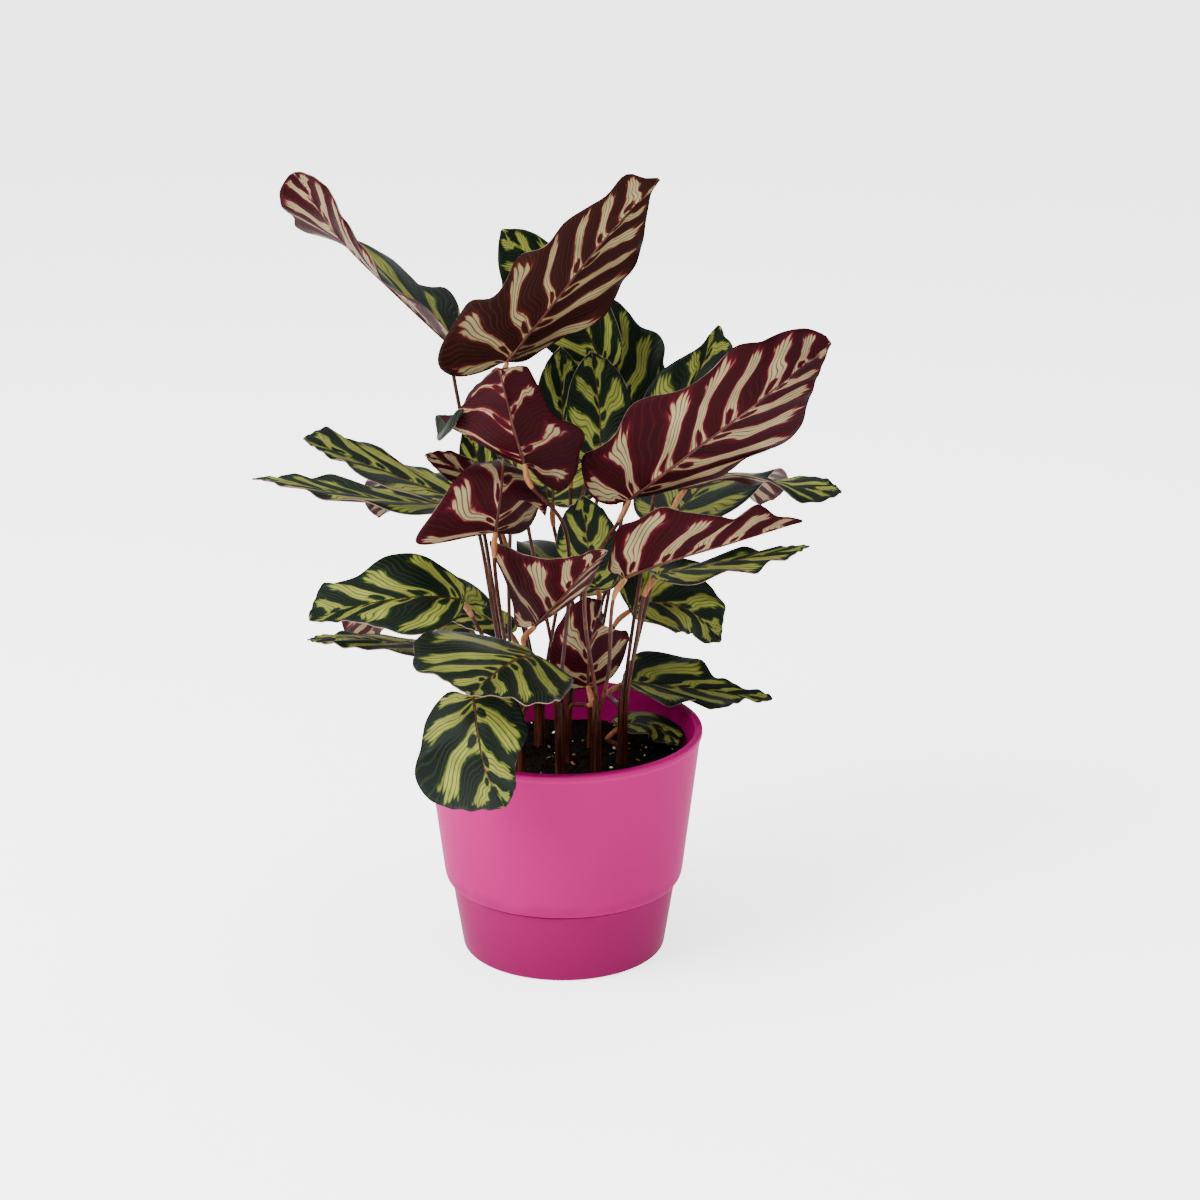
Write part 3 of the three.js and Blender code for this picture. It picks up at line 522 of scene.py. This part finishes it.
def plain_margin(q, half, belly, taper, lobe, point):
    """Where the side vein q ends on a plain oval half: its share of the midrib and of the half width."""
    eased = (1 - math.cos(math.pi * q)) / 2
    back = min(q * 2.4, 1) ** (0.6 if lobe > 0 else 1)
    end = eased + (q - eased) * point * q * q - lobe * math.sin(math.pi * back)
    wide = math.sin(math.pi * q ** belly) * (1 - 0.25 * point * q ** 3) * (1 - taper * end)
    return end, max(wide, (BASE_HALF_WIDTH if q < 0.5 else TIP_HALF_WIDTH) / half)


def grow_leaf(
    name, rib, up, half, fold=(10, 10), curl=(0, 0), belly=(0.85, 0.85), taper=(0, 0), lobe=(0.04, 0.04),
    point=(0.4, 0.4), fade=1, wave=(0, 3, 0), via=None, left=None, right=None, deep=0.0, backlit=0.0,
):
    """A blade on its midrib, in mm and degrees. Pairs are for its left and right half, seen from its base.

    Rib holds places on the midrib from base to tip, and up the way that the upper side faces along it. Half
    is the half width. Fold is how far a half leans up from the midrib and curl how much more by its margin.
    Fade is the share of the fold that is left at the tip. Belly, taper, lobe and point set a plain outline:
    where it is widest, how it narrows, how far it reaches back past its base and how drawn out its tip is.
    Left and right are margins drawn place by place instead. Wave is the height, number and phase of the
    ripples, and via is a place that the petiole passes. Deep is how far the dark marking spreads, and backlit
    how far the blade takes the browner tones of light shining through it from behind, a painted backlight.
    """
    midrib = Line(rib, 0)
    pairs = max(3, round(midrib.length / VEIN_SPACING))
    margins = [drawn_margin(left, midrib.length), drawn_margin(right, midrib.length)]
    ripple_height, ripples, phase = wave
    bpy.ops.object.select_all(action="DESELECT")
    bpy.ops.mesh.primitive_grid_add(x_subdivisions=COLUMNS, y_subdivisions=ROWS, size=1)
    blade = bpy.context.object
    blade.name = name + "_blade"
    mesh = blade.data
    veins, nature = mesh.uv_layers[0], mesh.uv_layers.new(name="nature")
    veins.name = "veins"
    shift = 10 * len(grown)
    maps = []
    for vertex in mesh.vertices:
        t = 2 * vertex.co.x
        q = 0.02 + 0.98 * (vertex.co.y + 0.5)
        k = 1 if t > 0 else 0
        out = abs(t)
        start = q ** (3.1 if margins[k] else 2.5)
        if margins[k]:
            place = margins[k].at(q)[0]
            end, wide = place.x / midrib.length, place.y / half[k]
        else:
            end, wide = plain_margin(q, half[k], belly[k], taper[k], lobe[k], point[k])
        x = start + (end - start) * out ** BOW
        y = wide * out
        place, tangent, normal, side = leaf_frame(midrib, up, x)
        lean = math.radians(fold[k]) * (1 + (fade - 1) * min(max(x, 0), 1))
        turn = math.radians(curl[k] or 0.1)
        across = half[k] * (math.sin(lean + turn * y) - math.sin(lean)) / turn
        raised = half[k] * (math.cos(lean) - math.cos(lean + turn * y)) / turn
        ripple = math.sin(2 * math.pi * (ripples * q * q + phase + (0.4 if t > 0 else 0)))
        raised += ripple_height * y * y * ripple
        crimp = noise.noise(Vector((start * 9 + shift, 4 * k, 0))) * CRIMP * out ** 3 * min(1, 4 * wide)
        quilt = QUILT * math.cos(2 * math.pi * pairs * (start + 0.5)) * min(1, 8 * out * (1 - out))
        groove = -GROOVE_DEPTH * math.exp(-(y * half[k] / GROOVE_HALF_WIDTH) ** 2)
        place = place + side * math.copysign(across, t) + normal * (raised + crimp + quilt + groove)
        vertex.co = place * MM
        fan = math.sin(math.pi / 2 * min(2 * q, 1))
        maps.append((start * pairs + 1.5 * fan + shift, t))
    for loop in mesh.loops:
        veins.data[loop.index].uv = maps[loop.vertex_index]
        nature.data[loop.index].uv = (deep, backlit)
    for face in mesh.polygons:
        face.use_smooth = True
    for material in (upper_face, under_face, leaf_rim):
        mesh.materials.append(material)
    wall = blade.modifiers.new("thickness", "SOLIDIFY")
    wall.thickness = BLADE_THICKNESS * MM
    wall.offset = 0
    wall.material_offset = 1
    wall.material_offset_rim = 2
    bpy.ops.object.modifier_apply(modifier=wall.name)

    places, radii = [], []
    for step in range(RIDGE_STEPS):
        share = step / RIDGE_STEPS
        place, tangent, normal, side = leaf_frame(midrib, up, share)
        places.append(place - normal * (0.75 - 0.3 * share))
        radii.append(0.65 * (1 - share) ** 0.8 + 0.15)
    ridge = tube(name + "_ridge", places, radii, rib_skin)
    bpy.ops.object.select_all(action="DESELECT")
    ridge.select_set(True)
    blade.select_set(True)
    bpy.context.view_layer.objects.active = blade
    bpy.ops.object.join()
    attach(blade, "root")
    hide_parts(name)
    grown.append((leaf_frame(midrib, up, 0), via))


FOOT_HEIGHT = 90  # where the petioles begin, inside the soil
SHEATH_MOUTH = 136  # where they leave the sheath
SHEATH_RADIUS = 3.0
PETIOLE_RADIUS = 1.05
FOOT_SWELL = 0.7
PULVINUS_LENGTH = 13
PULVINUS_RADIUS = 1.12
PULVINUS_SWELL = 0.5
PETIOLE_STEPS, PULVINUS_STEPS, SHEATH_STEPS = 60, 12, 16


def grow_shoot(name, x, y):
    """The petioles of the leaves grown last, from the sheath in the soil to their blades, as one shoot."""
    stalks = []
    for i, ((place, tangent, normal, side), via) in enumerate(grown[grow_shoot.done:]):
        top = place + tangent * 1.2 - normal * 1.2
        neck = place - tangent * 6 - normal * 8
        foot = Vector((x, y, FOOT_HEIGHT))
        lean = Vector((neck.x - x, neck.y - y, 0)).normalized()
        mouth = foot + lean * 3
        mouth.z = min(SHEATH_MOUTH, neck.z)
        middle = mouth.lerp(neck, 0.5)
        middle.z += 0.08 * (neck.z - mouth.z)
        path = Line([foot + lean * 2.2, mouth, Vector(via) if via else middle, neck, top], 0.5)
        places = [path.at(step / PETIOLE_STEPS)[0] for step in range(PETIOLE_STEPS + 1)]
        radii = []
        for p in places:
            low_down = max(0, 1 - (p.z - FOOT_HEIGHT) / 60)
            radii.append(PETIOLE_RADIUS + FOOT_SWELL * low_down ** 1.5)
        stalks.append(tube(f"{name}_petiole_{i}", places, radii, petiole_skin))
        swollen = PULVINUS_LENGTH / path.length
        knee, thick = [], []
        for step in range(PULVINUS_STEPS + 1):
            share = step / PULVINUS_STEPS
            knee.append(path.at(1 - swollen * (1 - share))[0])
            thick.append(PULVINUS_RADIUS + PULVINUS_SWELL * math.sin(math.pi * share) ** 0.7)
        stalks.append(tube(f"{name}_pulvinus_{i}", knee, thick, pulvinus_skin))
    wrap = [Vector((x, y, FOOT_HEIGHT - 2 + 4 * step)) for step in range(SHEATH_STEPS)]
    girth = [SHEATH_RADIUS - 0.13 * step for step in range(SHEATH_STEPS)]
    stalks.append(tube(f"{name}_sheath", wrap, girth, petiole_skin))
    grow_shoot.done = len(grown)
    bpy.ops.object.select_all(action="DESELECT")
    for stalk in stalks:
        stalk.select_set(True)
    bpy.context.view_layer.objects.active = stalks[0]
    bpy.ops.object.join()
    shoot = bpy.context.object
    shoot.name = name + "_stalks"
    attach(shoot, "root")
    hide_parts(name)


grow_shoot.done = 0

# Front left shoot. Its leaves hang to the front left: one over the lip, one flat over the soil, one out to
# the side, and high above them one whose tip bends back over and shows its wine-red underside.
grow_leaf(
    "leaf_heart_lower",
    rib=((-33, -58, 250), (-30, -66, 270), (-29, -52, 281), (-30, -25, 279), (-33, 5, 266)),
    up=((-0.1, 1, -0.1), (0, 0.8, -0.5), (0, 0, -1)), half=(34, 37), fold=(30, 0), curl=(30, 0),
    belly=(0.6, 0.45), taper=(0, 1), lobe=(0.1, 0.15), wave=(2, 3, 0), via=(-30, -40, 190),
    deep=0.3,
)
grow_leaf(
    "leaf_low_left",
    rib=((-51, -25, 204), (-73, -35, 209), (-103, -40, 206), (-130, -43, 199)),
    up=((-0.1, -0.5, 0.9),), half=(33, 31), fold=(10, 10), wave=(1, 3, 0),
    left=((6, 12), (12, 20), (20, 28), (28, 32), (36, 31), (46, 25), (56, 16), (66, 10), (76, 6)),
    right=(
        (-3, 10), (2, 16), (9, 22), (16, 27), (26, 29), (38, 27), (48, 22), (56, 18), (67, 17),
        (72, 19), (77, 13), (82, 5),
    ),
)
grow_leaf(
    "leaf_front_left",
    rib=((-13, -69, 189), (-23, -93, 194), (-33, -121, 196), (-43, -146, 195)),
    up=((0, -0.3, 0.95), (-0.1, -0.5, 0.9)), half=(31, 50), fold=(-25, 0), wave=(1, 3, 0),
    via=(-17, -42, 155),
    left=((-6, 10), (-8, 21), (0, 25), (8, 28), (20, 30), (36, 31), (46, 30), (58, 22), (67, 12), (77, 5)),
    right=(
        (-10, 10), (-12, 26), (-6, 42), (6, 51), (20, 52), (36, 50), (50, 44), (62, 40), (73, 33),
        (72, 26), (75, 16), (80, 8),
    ),
)
grow_leaf(
    "leaf_over_rim",
    rib=((-44, -82, 171), (-41, -98, 156), (-37, -104, 138), (-28, -100, 118)),
    up=((-0.1, -0.9, 0.3), (-0.1, -1, 0.1)), half=(21, 36), fold=(-5, -5), wave=(1, 3, 0),
    via=(-34, -50, 155),
    left=((-3, 7), (1, 17), (8, 22), (16, 24), (26, 24), (36, 18), (46, 14), (56, 10)),
    right=((-6, 11), (-2, 19), (6, 26), (14, 29), (26, 32), (36, 36), (44, 34), (52, 27), (60, 14)),
)
grow_shoot("shoot_front_left", -22, -20)

# Left shoot. One long narrow leaf stands high and turns its underside out toward the tip. The others reach
# out level to the left, with strongly waved margins.
grow_leaf(
    "leaf_top_left",
    rib=((-57, 38, 324), (-85, 30, 353), (-113, 14, 386), (-134, -2, 423)),
    up=((0.62, -0.1, 0.77), (0.62, 0.1, 0.75), (0.3, 0.9, 0.2)), half=(24, 30), fold=(30, 30),
    fade=-0.6, wave=(2, 3, 0), via=(-43, 35, 225),
    left=(
        (4, 10), (20, 20), (40, 24), (60, 24), (80, 22), (94, 20), (106, 18), (120, 16), (128, 12),
        (132, 5),
    ),
    right=(
        (6, 22), (17, 35), (25, 30), (33, 27), (43, 36), (54, 31), (66, 30), (80, 30), (96, 28),
        (104, 22), (116, 18), (126, 13), (132, 5),
    ),
)
grow_leaf(
    "leaf_far_left",
    rib=((-49, -5, 251), (-74, 0, 259), (-102, 2, 270), (-135, 5, 283)), up=((0.2, -0.15, 1),),
    half=(28, 28), fold=(5, 5), wave=(2, 4, 0),
    left=((6, 12), (14, 19), (26, 21), (40, 21), (52, 21), (60, 18), (67, 11), (78, 11), (87, 6)),
    right=(
        (6, 8), (14, 12), (24, 18), (29, 21), (36, 16), (44, 14), (54, 20), (61, 22), (68, 17),
        (76, 17), (82, 20), (88, 13), (91, 6),
    ),
)
grow_leaf(
    "leaf_far_left_low",
    rib=((-50, 30, 239), (-87, 30, 242), (-122, 34, 246), (-149, 36, 251), (-167, 40, 252)),
    up=((0, 0, 1),), half=(22, 22), fold=(5, 5), point=(0.9, 0.9), wave=(3, 4, 0.3),
)
grow_leaf(
    "leaf_left_sliver",
    rib=((-34, -4, 256), (-48, -9, 266), (-59, -15, 275), (-70, -20, 281)), up=((0, 1, 0.3),),
    half=(9, 9), fold=(5, 5),
)
grow_leaf(
    "leaf_low_left_shade",
    rib=((-58, -8, 172), (-84, -12, 176), (-112, -15, 180), (-134, -18, 180)), up=((0, 0.1, 1),),
    half=(20, 20), fold=(-5, -5),
)
grow_shoot("shoot_left", -28, 6)

# Front shoot. Two leaves that show their undersides: the upper one is nearly all dark red and bends back over
# its own tip, and the lower one is folded along its midrib into a three-cornered pocket.
grow_leaf(
    "leaf_heart_upper",
    rib=((-18, -50, 283), (-23, -56, 303), (-27, -55, 320), (-31, -42, 330), (-35, -20, 324)),
    up=((-0.1, 1, 0.2), (-0.1, 1, -0.1), (0, 0.5, -0.9)), half=(44, 40), fold=(10, 25), curl=(10, 30),
    wave=(2, 3, 0), via=(2, -50, 250),
    left=(
        (-12, 5), (-22, 14), (-16, 24), (-5, 29), (3, 34), (12, 30), (18, 24), (26, 20), (38, 18),
        (50, 16), (62, 14), (72, 8),
    ),
    right=((2, 5), (7, 14), (12, 24), (18, 34), (25, 44), (33, 52), (43, 54), (52, 48), (62, 36), (72, 18)),
    deep=0.9,
)
grow_leaf(
    "leaf_folded_front",
    rib=((-13, -50, 198), (0, -75, 220), (12, -95, 241), (23, -110, 256)), up=((0.3, 0.95, 0.1),),
    half=(20, 50), fold=(70, 10), wave=(1, 3, 0), via=(-5, -42, 160),
    left=((4, 8), (14, 15), (28, 19), (44, 18), (60, 13), (76, 7)),
    right=(
        (-9, 3), (-16, 8), (-6, 15), (2, 23), (8, 31), (14, 41), (20, 47), (26, 40), (33, 34), (43, 25),
        (54, 17), (70, 8), (82, 5),
    ),
    deep=0.3,
)
grow_shoot("shoot_front", -1, -29)

# Front right shoot. A large leaf stands up to the right, seen from underneath, and a smaller one folded like
# a trough reaches out below it.
grow_leaf(
    "leaf_upper_right",
    rib=((34, -30, 259), (65, -42, 287), (102, -48, 318), (135, -40, 344)),
    up=((-0.35, 0.9, 0.2), (-0.35, 0.9, 0.3)), half=(33, 38), fold=(0, 18), curl=(6, 10),
    wave=(2, 4, 0), via=(13, -49, 222),
    left=(
        (10, 3), (20, 6), (28, 15), (40, 25), (50, 26), (62, 25), (74, 31), (84, 33), (98, 30),
        (106, 24), (114, 17), (124, 9), (132, 3),
    ),
    right=(
        (-8, 3), (-13, 12), (-9, 24), (0, 34), (10, 33), (22, 33), (36, 38), (46, 36), (62, 29),
        (80, 28), (98, 29), (108, 24), (116, 20), (124, 18), (131, 12), (135, 4),
    ),
    deep=0.2,
)
grow_leaf(
    "leaf_middle_right",
    rib=((32, -40, 221), (55, -50, 233), (85, -56, 244), (122, -50, 254)), up=((0, 0.7, 0.7),),
    half=(28, 28), fold=(40, 40), wave=(2, 3, 0), via=(24, -34, 165),
    left=((-2, 8), (5, 17), (14, 24), (26, 28), (38, 25), (52, 21), (64, 15), (78, 13), (90, 6)),
    right=(
        (-6, 6), (-1, 13), (6, 21), (13, 27), (22, 27), (34, 28), (42, 23), (50, 20), (60, 15),
        (66, 12), (74, 14), (80, 15), (87, 7), (95, 3),
    ),
)
grow_shoot("shoot_front_right", 17, -24)

# Right shoot. Its leaves spread out to the right, some nearly edge on, down to a small one that lies on the
# soil inside the pot.
grow_leaf(
    "leaf_rear_right",
    rib=((54, 36, 270), (66, 45, 296), (76, 48, 316), (83, 45, 334)), up=((-0.2, -1, 0.3),),
    half=(20, 24), fold=(15, 15), wave=(1, 3, 0),
    left=((4, 12), (16, 20), (30, 20), (38, 17), (48, 11), (58, 5), (66, 3)),
    right=((4, 12), (18, 22), (36, 24), (50, 20), (60, 17), (66, 13), (69, 6)),
)
grow_leaf(
    "leaf_far_right_strap",
    rib=((64, 28, 250), (94, 34, 255), (127, 36, 248), (149, 30, 247)),
    up=((0, 0.38, 1), (0, 0.36, 1), (0, -0.9, 0.8)), half=(17, 17), fold=(-5, -5),
)
grow_leaf(
    "leaf_far_right_edge",
    rib=((49, 0, 210), (73, 5, 213), (102, 10, 217), (131, 10, 223)), up=((0, 0.05, 1),),
    half=(20, 20), fold=(-5, -5), wave=(3, 4, 0),
)
grow_leaf(
    "leaf_rim_right",
    rib=((32, 30, 140), (58, 36, 135), (88, 34, 132), (114, 28, 130)), up=((0, -0.1, 1),),
    half=(28, 26), fold=(18, 0), wave=(2, 4, 0),
    left=((4, 10), (12, 22), (22, 26), (32, 27), (42, 22), (50, 13), (58, 10), (66, 5), (76, 5), (81, 4)),
    right=(
        (4, 12), (12, 20), (24, 25), (38, 20), (44, 15), (52, 20), (58, 22), (64, 17), (68, 8), (72, 3),
        (78, 7), (82, 3),
    ),
)
grow_leaf(
    "leaf_in_pot",
    rib=((30, 14, 120), (44, 22, 119), (55, 20, 114), (62, 8, 111)), up=((0, -0.2, 1),), half=(13, 13),
    fold=(-5, -5),
)
grow_shoot("shoot_right", 31, 0)

# Middle shoot. The tallest leaf rises from it, its underside painted brown as a painted backlight, and
# younger leaves stand upright in the heart of the plant. One of these is still curled.
grow_leaf(
    "leaf_top_middle",
    rib=((-29, 12, 322), (-7, -12, 354), (21, -25, 392), (49, -30, 424)), up=((-0.3, 0.9, 0.2),),
    half=(30, 36), fold=(0, 18), curl=(6, 10), wave=(2, 4, 0.2), via=(-18, 14, 230),
    left=(
        (4, 9), (14, 13), (28, 18), (38, 19), (48, 26), (58, 29), (70, 28), (82, 24), (96, 23),
        (106, 18), (118, 10), (130, 2),
    ),
    right=(
        (-14, 6), (-27, 16), (-27, 27), (-14, 33), (8, 34), (24, 34), (34, 27), (46, 26), (62, 28),
        (76, 21), (94, 20), (112, 14), (127, 14), (133, 6),
    ),
    # Painted backlight: this blade takes the browner tones of light shining through it from behind.
    deep=0.2, backlit=1.0,
)
grow_leaf(
    "leaf_inner_curled",
    rib=((13, -5, 149), (14, -11, 171), (17, -11, 187), (20, 1, 195)), up=((-0.3, 0.9, 0.2),),
    half=(27, 21), fold=(10, 10), curl=(20, 20),
    deep=0.3,
)
grow_leaf(
    "leaf_inner_pale",
    rib=((3, 42, 256), (0, 52, 280), (-1, 52, 303), (-1, 48, 322)), up=((0, -1, 0.3),), half=(15, 15),
    fold=(5, 5),
)
grow_leaf(
    "leaf_inner_dark",
    rib=((20, 30, 262), (20, 36, 284), (18, 36, 304), (15, 32, 323)), up=((0, -1, 0.3),),
    half=(18, 18), fold=(5, 5),
)
grow_leaf(
    "leaf_inner_olive",
    rib=((18, 12, 198), (14, 16, 217), (12, 15, 234), (11, 10, 250)), up=((0, -1, 0.1),),
    half=(17, 17), fold=(5, 5),
)
grow_shoot("shoot_middle", 2, 2)

# Rear shoot. A broad leaf stands behind the tall one, one droops to the right, and three arch over to the
# back of the plant.
grow_leaf(
    "leaf_rear_broad",
    rib=((36, 66, 262), (32, 74, 292), (24, 78, 322), (14, 75, 345)), up=((0, -1, 0.3),),
    half=(28, 29), fold=(5, 5), wave=(3, 3, 0.5), via=(25, 40, 190),
    right=((4, 14), (16, 24), (30, 28), (40, 25), (48, 28), (56, 26), (62, 18), (70, 15), (79, 11)),
)
grow_leaf(
    "leaf_low_right",
    rib=((36, 34, 180), (53, 46, 180), (72, 53, 171), (87, 53, 155)), up=((0, -0.5, 0.8),),
    half=(28, 25), fold=(4, 4), wave=(1, 3, 0),
    left=((2, 14), (12, 26), (24, 30), (36, 28), (44, 22), (52, 18), (58, 10), (61, 5)),
    right=((-2, 8), (6, 17), (14, 25), (22, 24), (34, 20), (46, 14), (58, 10), (62, 5)),
)
grow_leaf(
    "leaf_rear_high",
    rib=((-6, 58, 232), (-6, 92, 262), (-10, 122, 266), (-14, 148, 248)),
    up=((0, -0.4, 1), (0, 0.3, 1)), half=(36, 36), fold=(8, 8), wave=(2, 3, 0),
)
grow_leaf(
    "leaf_rear_high_right",
    rib=((56, 46, 224), (82, 84, 240), (100, 114, 232), (112, 137, 210)),
    up=((-0.2, -0.3, 1), (0.2, 0.3, 1)), half=(36, 36), fold=(8, 8), wave=(2, 3, 0), via=(24, 47, 188),
)
grow_leaf(
    "leaf_rear_low",
    rib=((4, 60, 180), (8, 98, 194), (8, 130, 182), (6, 150, 154)), up=((0, -0.3, 1), (0, 0.3, 1)),
    half=(36, 36), fold=(8, 8), wave=(2, 3, 0),
)
grow_shoot("shoot_rear", 15, 25)

# Rear left shoot. A pointed leaf peers out behind the tallest one, two small ones fill the left side, and two
# arch over to the back.
grow_leaf(
    "leaf_left_inner",
    rib=((-38, 25, 238), (-42, 25, 256), (-47, 26, 272), (-51, 26, 284)), up=((0, -1, 0.3),),
    half=(11, 11), fold=(5, 5),
)
grow_leaf(
    "leaf_rear_peak",
    rib=((24, 60, 306), (7, 57, 338), (-13, 54, 364), (-32, 53, 384)), up=((-0.3, -0.8, 0.3),),
    half=(24, 22), fold=(15, 15), wave=(1, 3, 0),
    left=((6, 12), (20, 20), (50, 27), (68, 26), (77, 20), (85, 15), (92, 8)),
    right=((6, 12), (20, 18), (50, 20), (70, 15), (80, 13), (89, 9), (94, 4)),
)
grow_leaf(
    "leaf_inner_bright",
    rib=((-28, 30, 168), (-38, 34, 173), (-51, 36, 176), (-65, 38, 176)), up=((0, -0.4, 0.9),),
    half=(11, 11), fold=(-5, -5),
)
grow_leaf(
    "leaf_rear_high_left",
    rib=((-34, 54, 220), (-66, 92, 236), (-90, 120, 226), (-108, 138, 202)),
    up=((0.2, -0.3, 1), (-0.2, 0.3, 1)), half=(36, 36), fold=(8, 8), wave=(2, 3, 0),
)
grow_leaf(
    "leaf_rear_low_left",
    rib=((-50, 48, 164), (-82, 74, 174), (-104, 96, 158), (-118, 110, 132)),
    up=((0.2, -0.3, 1), (-0.2, 0.3, 1)), half=(32, 32), fold=(8, 8), wave=(2, 3, 0),
)
grow_shoot("shoot_rear_left", -13, 26)

# Floor and light. A plain pale floor, a large soft light from the upper left and an even pale surround.
bpy.ops.object.select_all(action="DESELECT")
bpy.ops.mesh.primitive_plane_add(size=60, location=(0, 0, 0))
floor = bpy.context.object
floor.name = "floor"
paper, tree, shader = new_finish("pale_floor")
here = put(tree, "ShaderNodeTexCoord").outputs["Object"]
tooth = put(tree, "ShaderNodeTexNoise", {"Vector": here, "Scale": 3}).outputs["Fac"]
tone = shade(tree, tooth, [(0, 0.90, 0.90, 0.90), (1, 0.92, 0.92, 0.92)])
tree.links.new(tone, shader.inputs["Base Color"])
shader.inputs["Roughness"].default_value = 0.7
shader.inputs["Emission Color"].default_value = (1.0, 0.985, 0.97, 1)
shader.inputs["Emission Strength"].default_value = 2.4
floor.data.materials.append(paper)


def soft_light(name, place, size, power):
    """A square studio light that faces the plant."""
    bpy.ops.object.light_add(type="AREA", location=place)
    light = bpy.context.object
    light.name = name
    light.rotation_euler = (Vector((0, 0, 0.2)) - Vector(place)).to_track_quat("-Z", "Y").to_euler()
    light.data.size = size
    light.data.energy = power


soft_light("window_left", (-1.5, -0.9, 1.5), 1.3, 130)
soft_light("overhead", (0.1, 0.4, 1.9), 1.0, 22)
surround = bpy.data.worlds.new("surround")
surround.use_nodes = True
surround.node_tree.nodes["Background"].inputs["Color"].default_value = (0.97, 0.98, 1.0, 1)
surround.node_tree.nodes["Background"].inputs["Strength"].default_value = 1.2
bpy.context.scene.world = surround
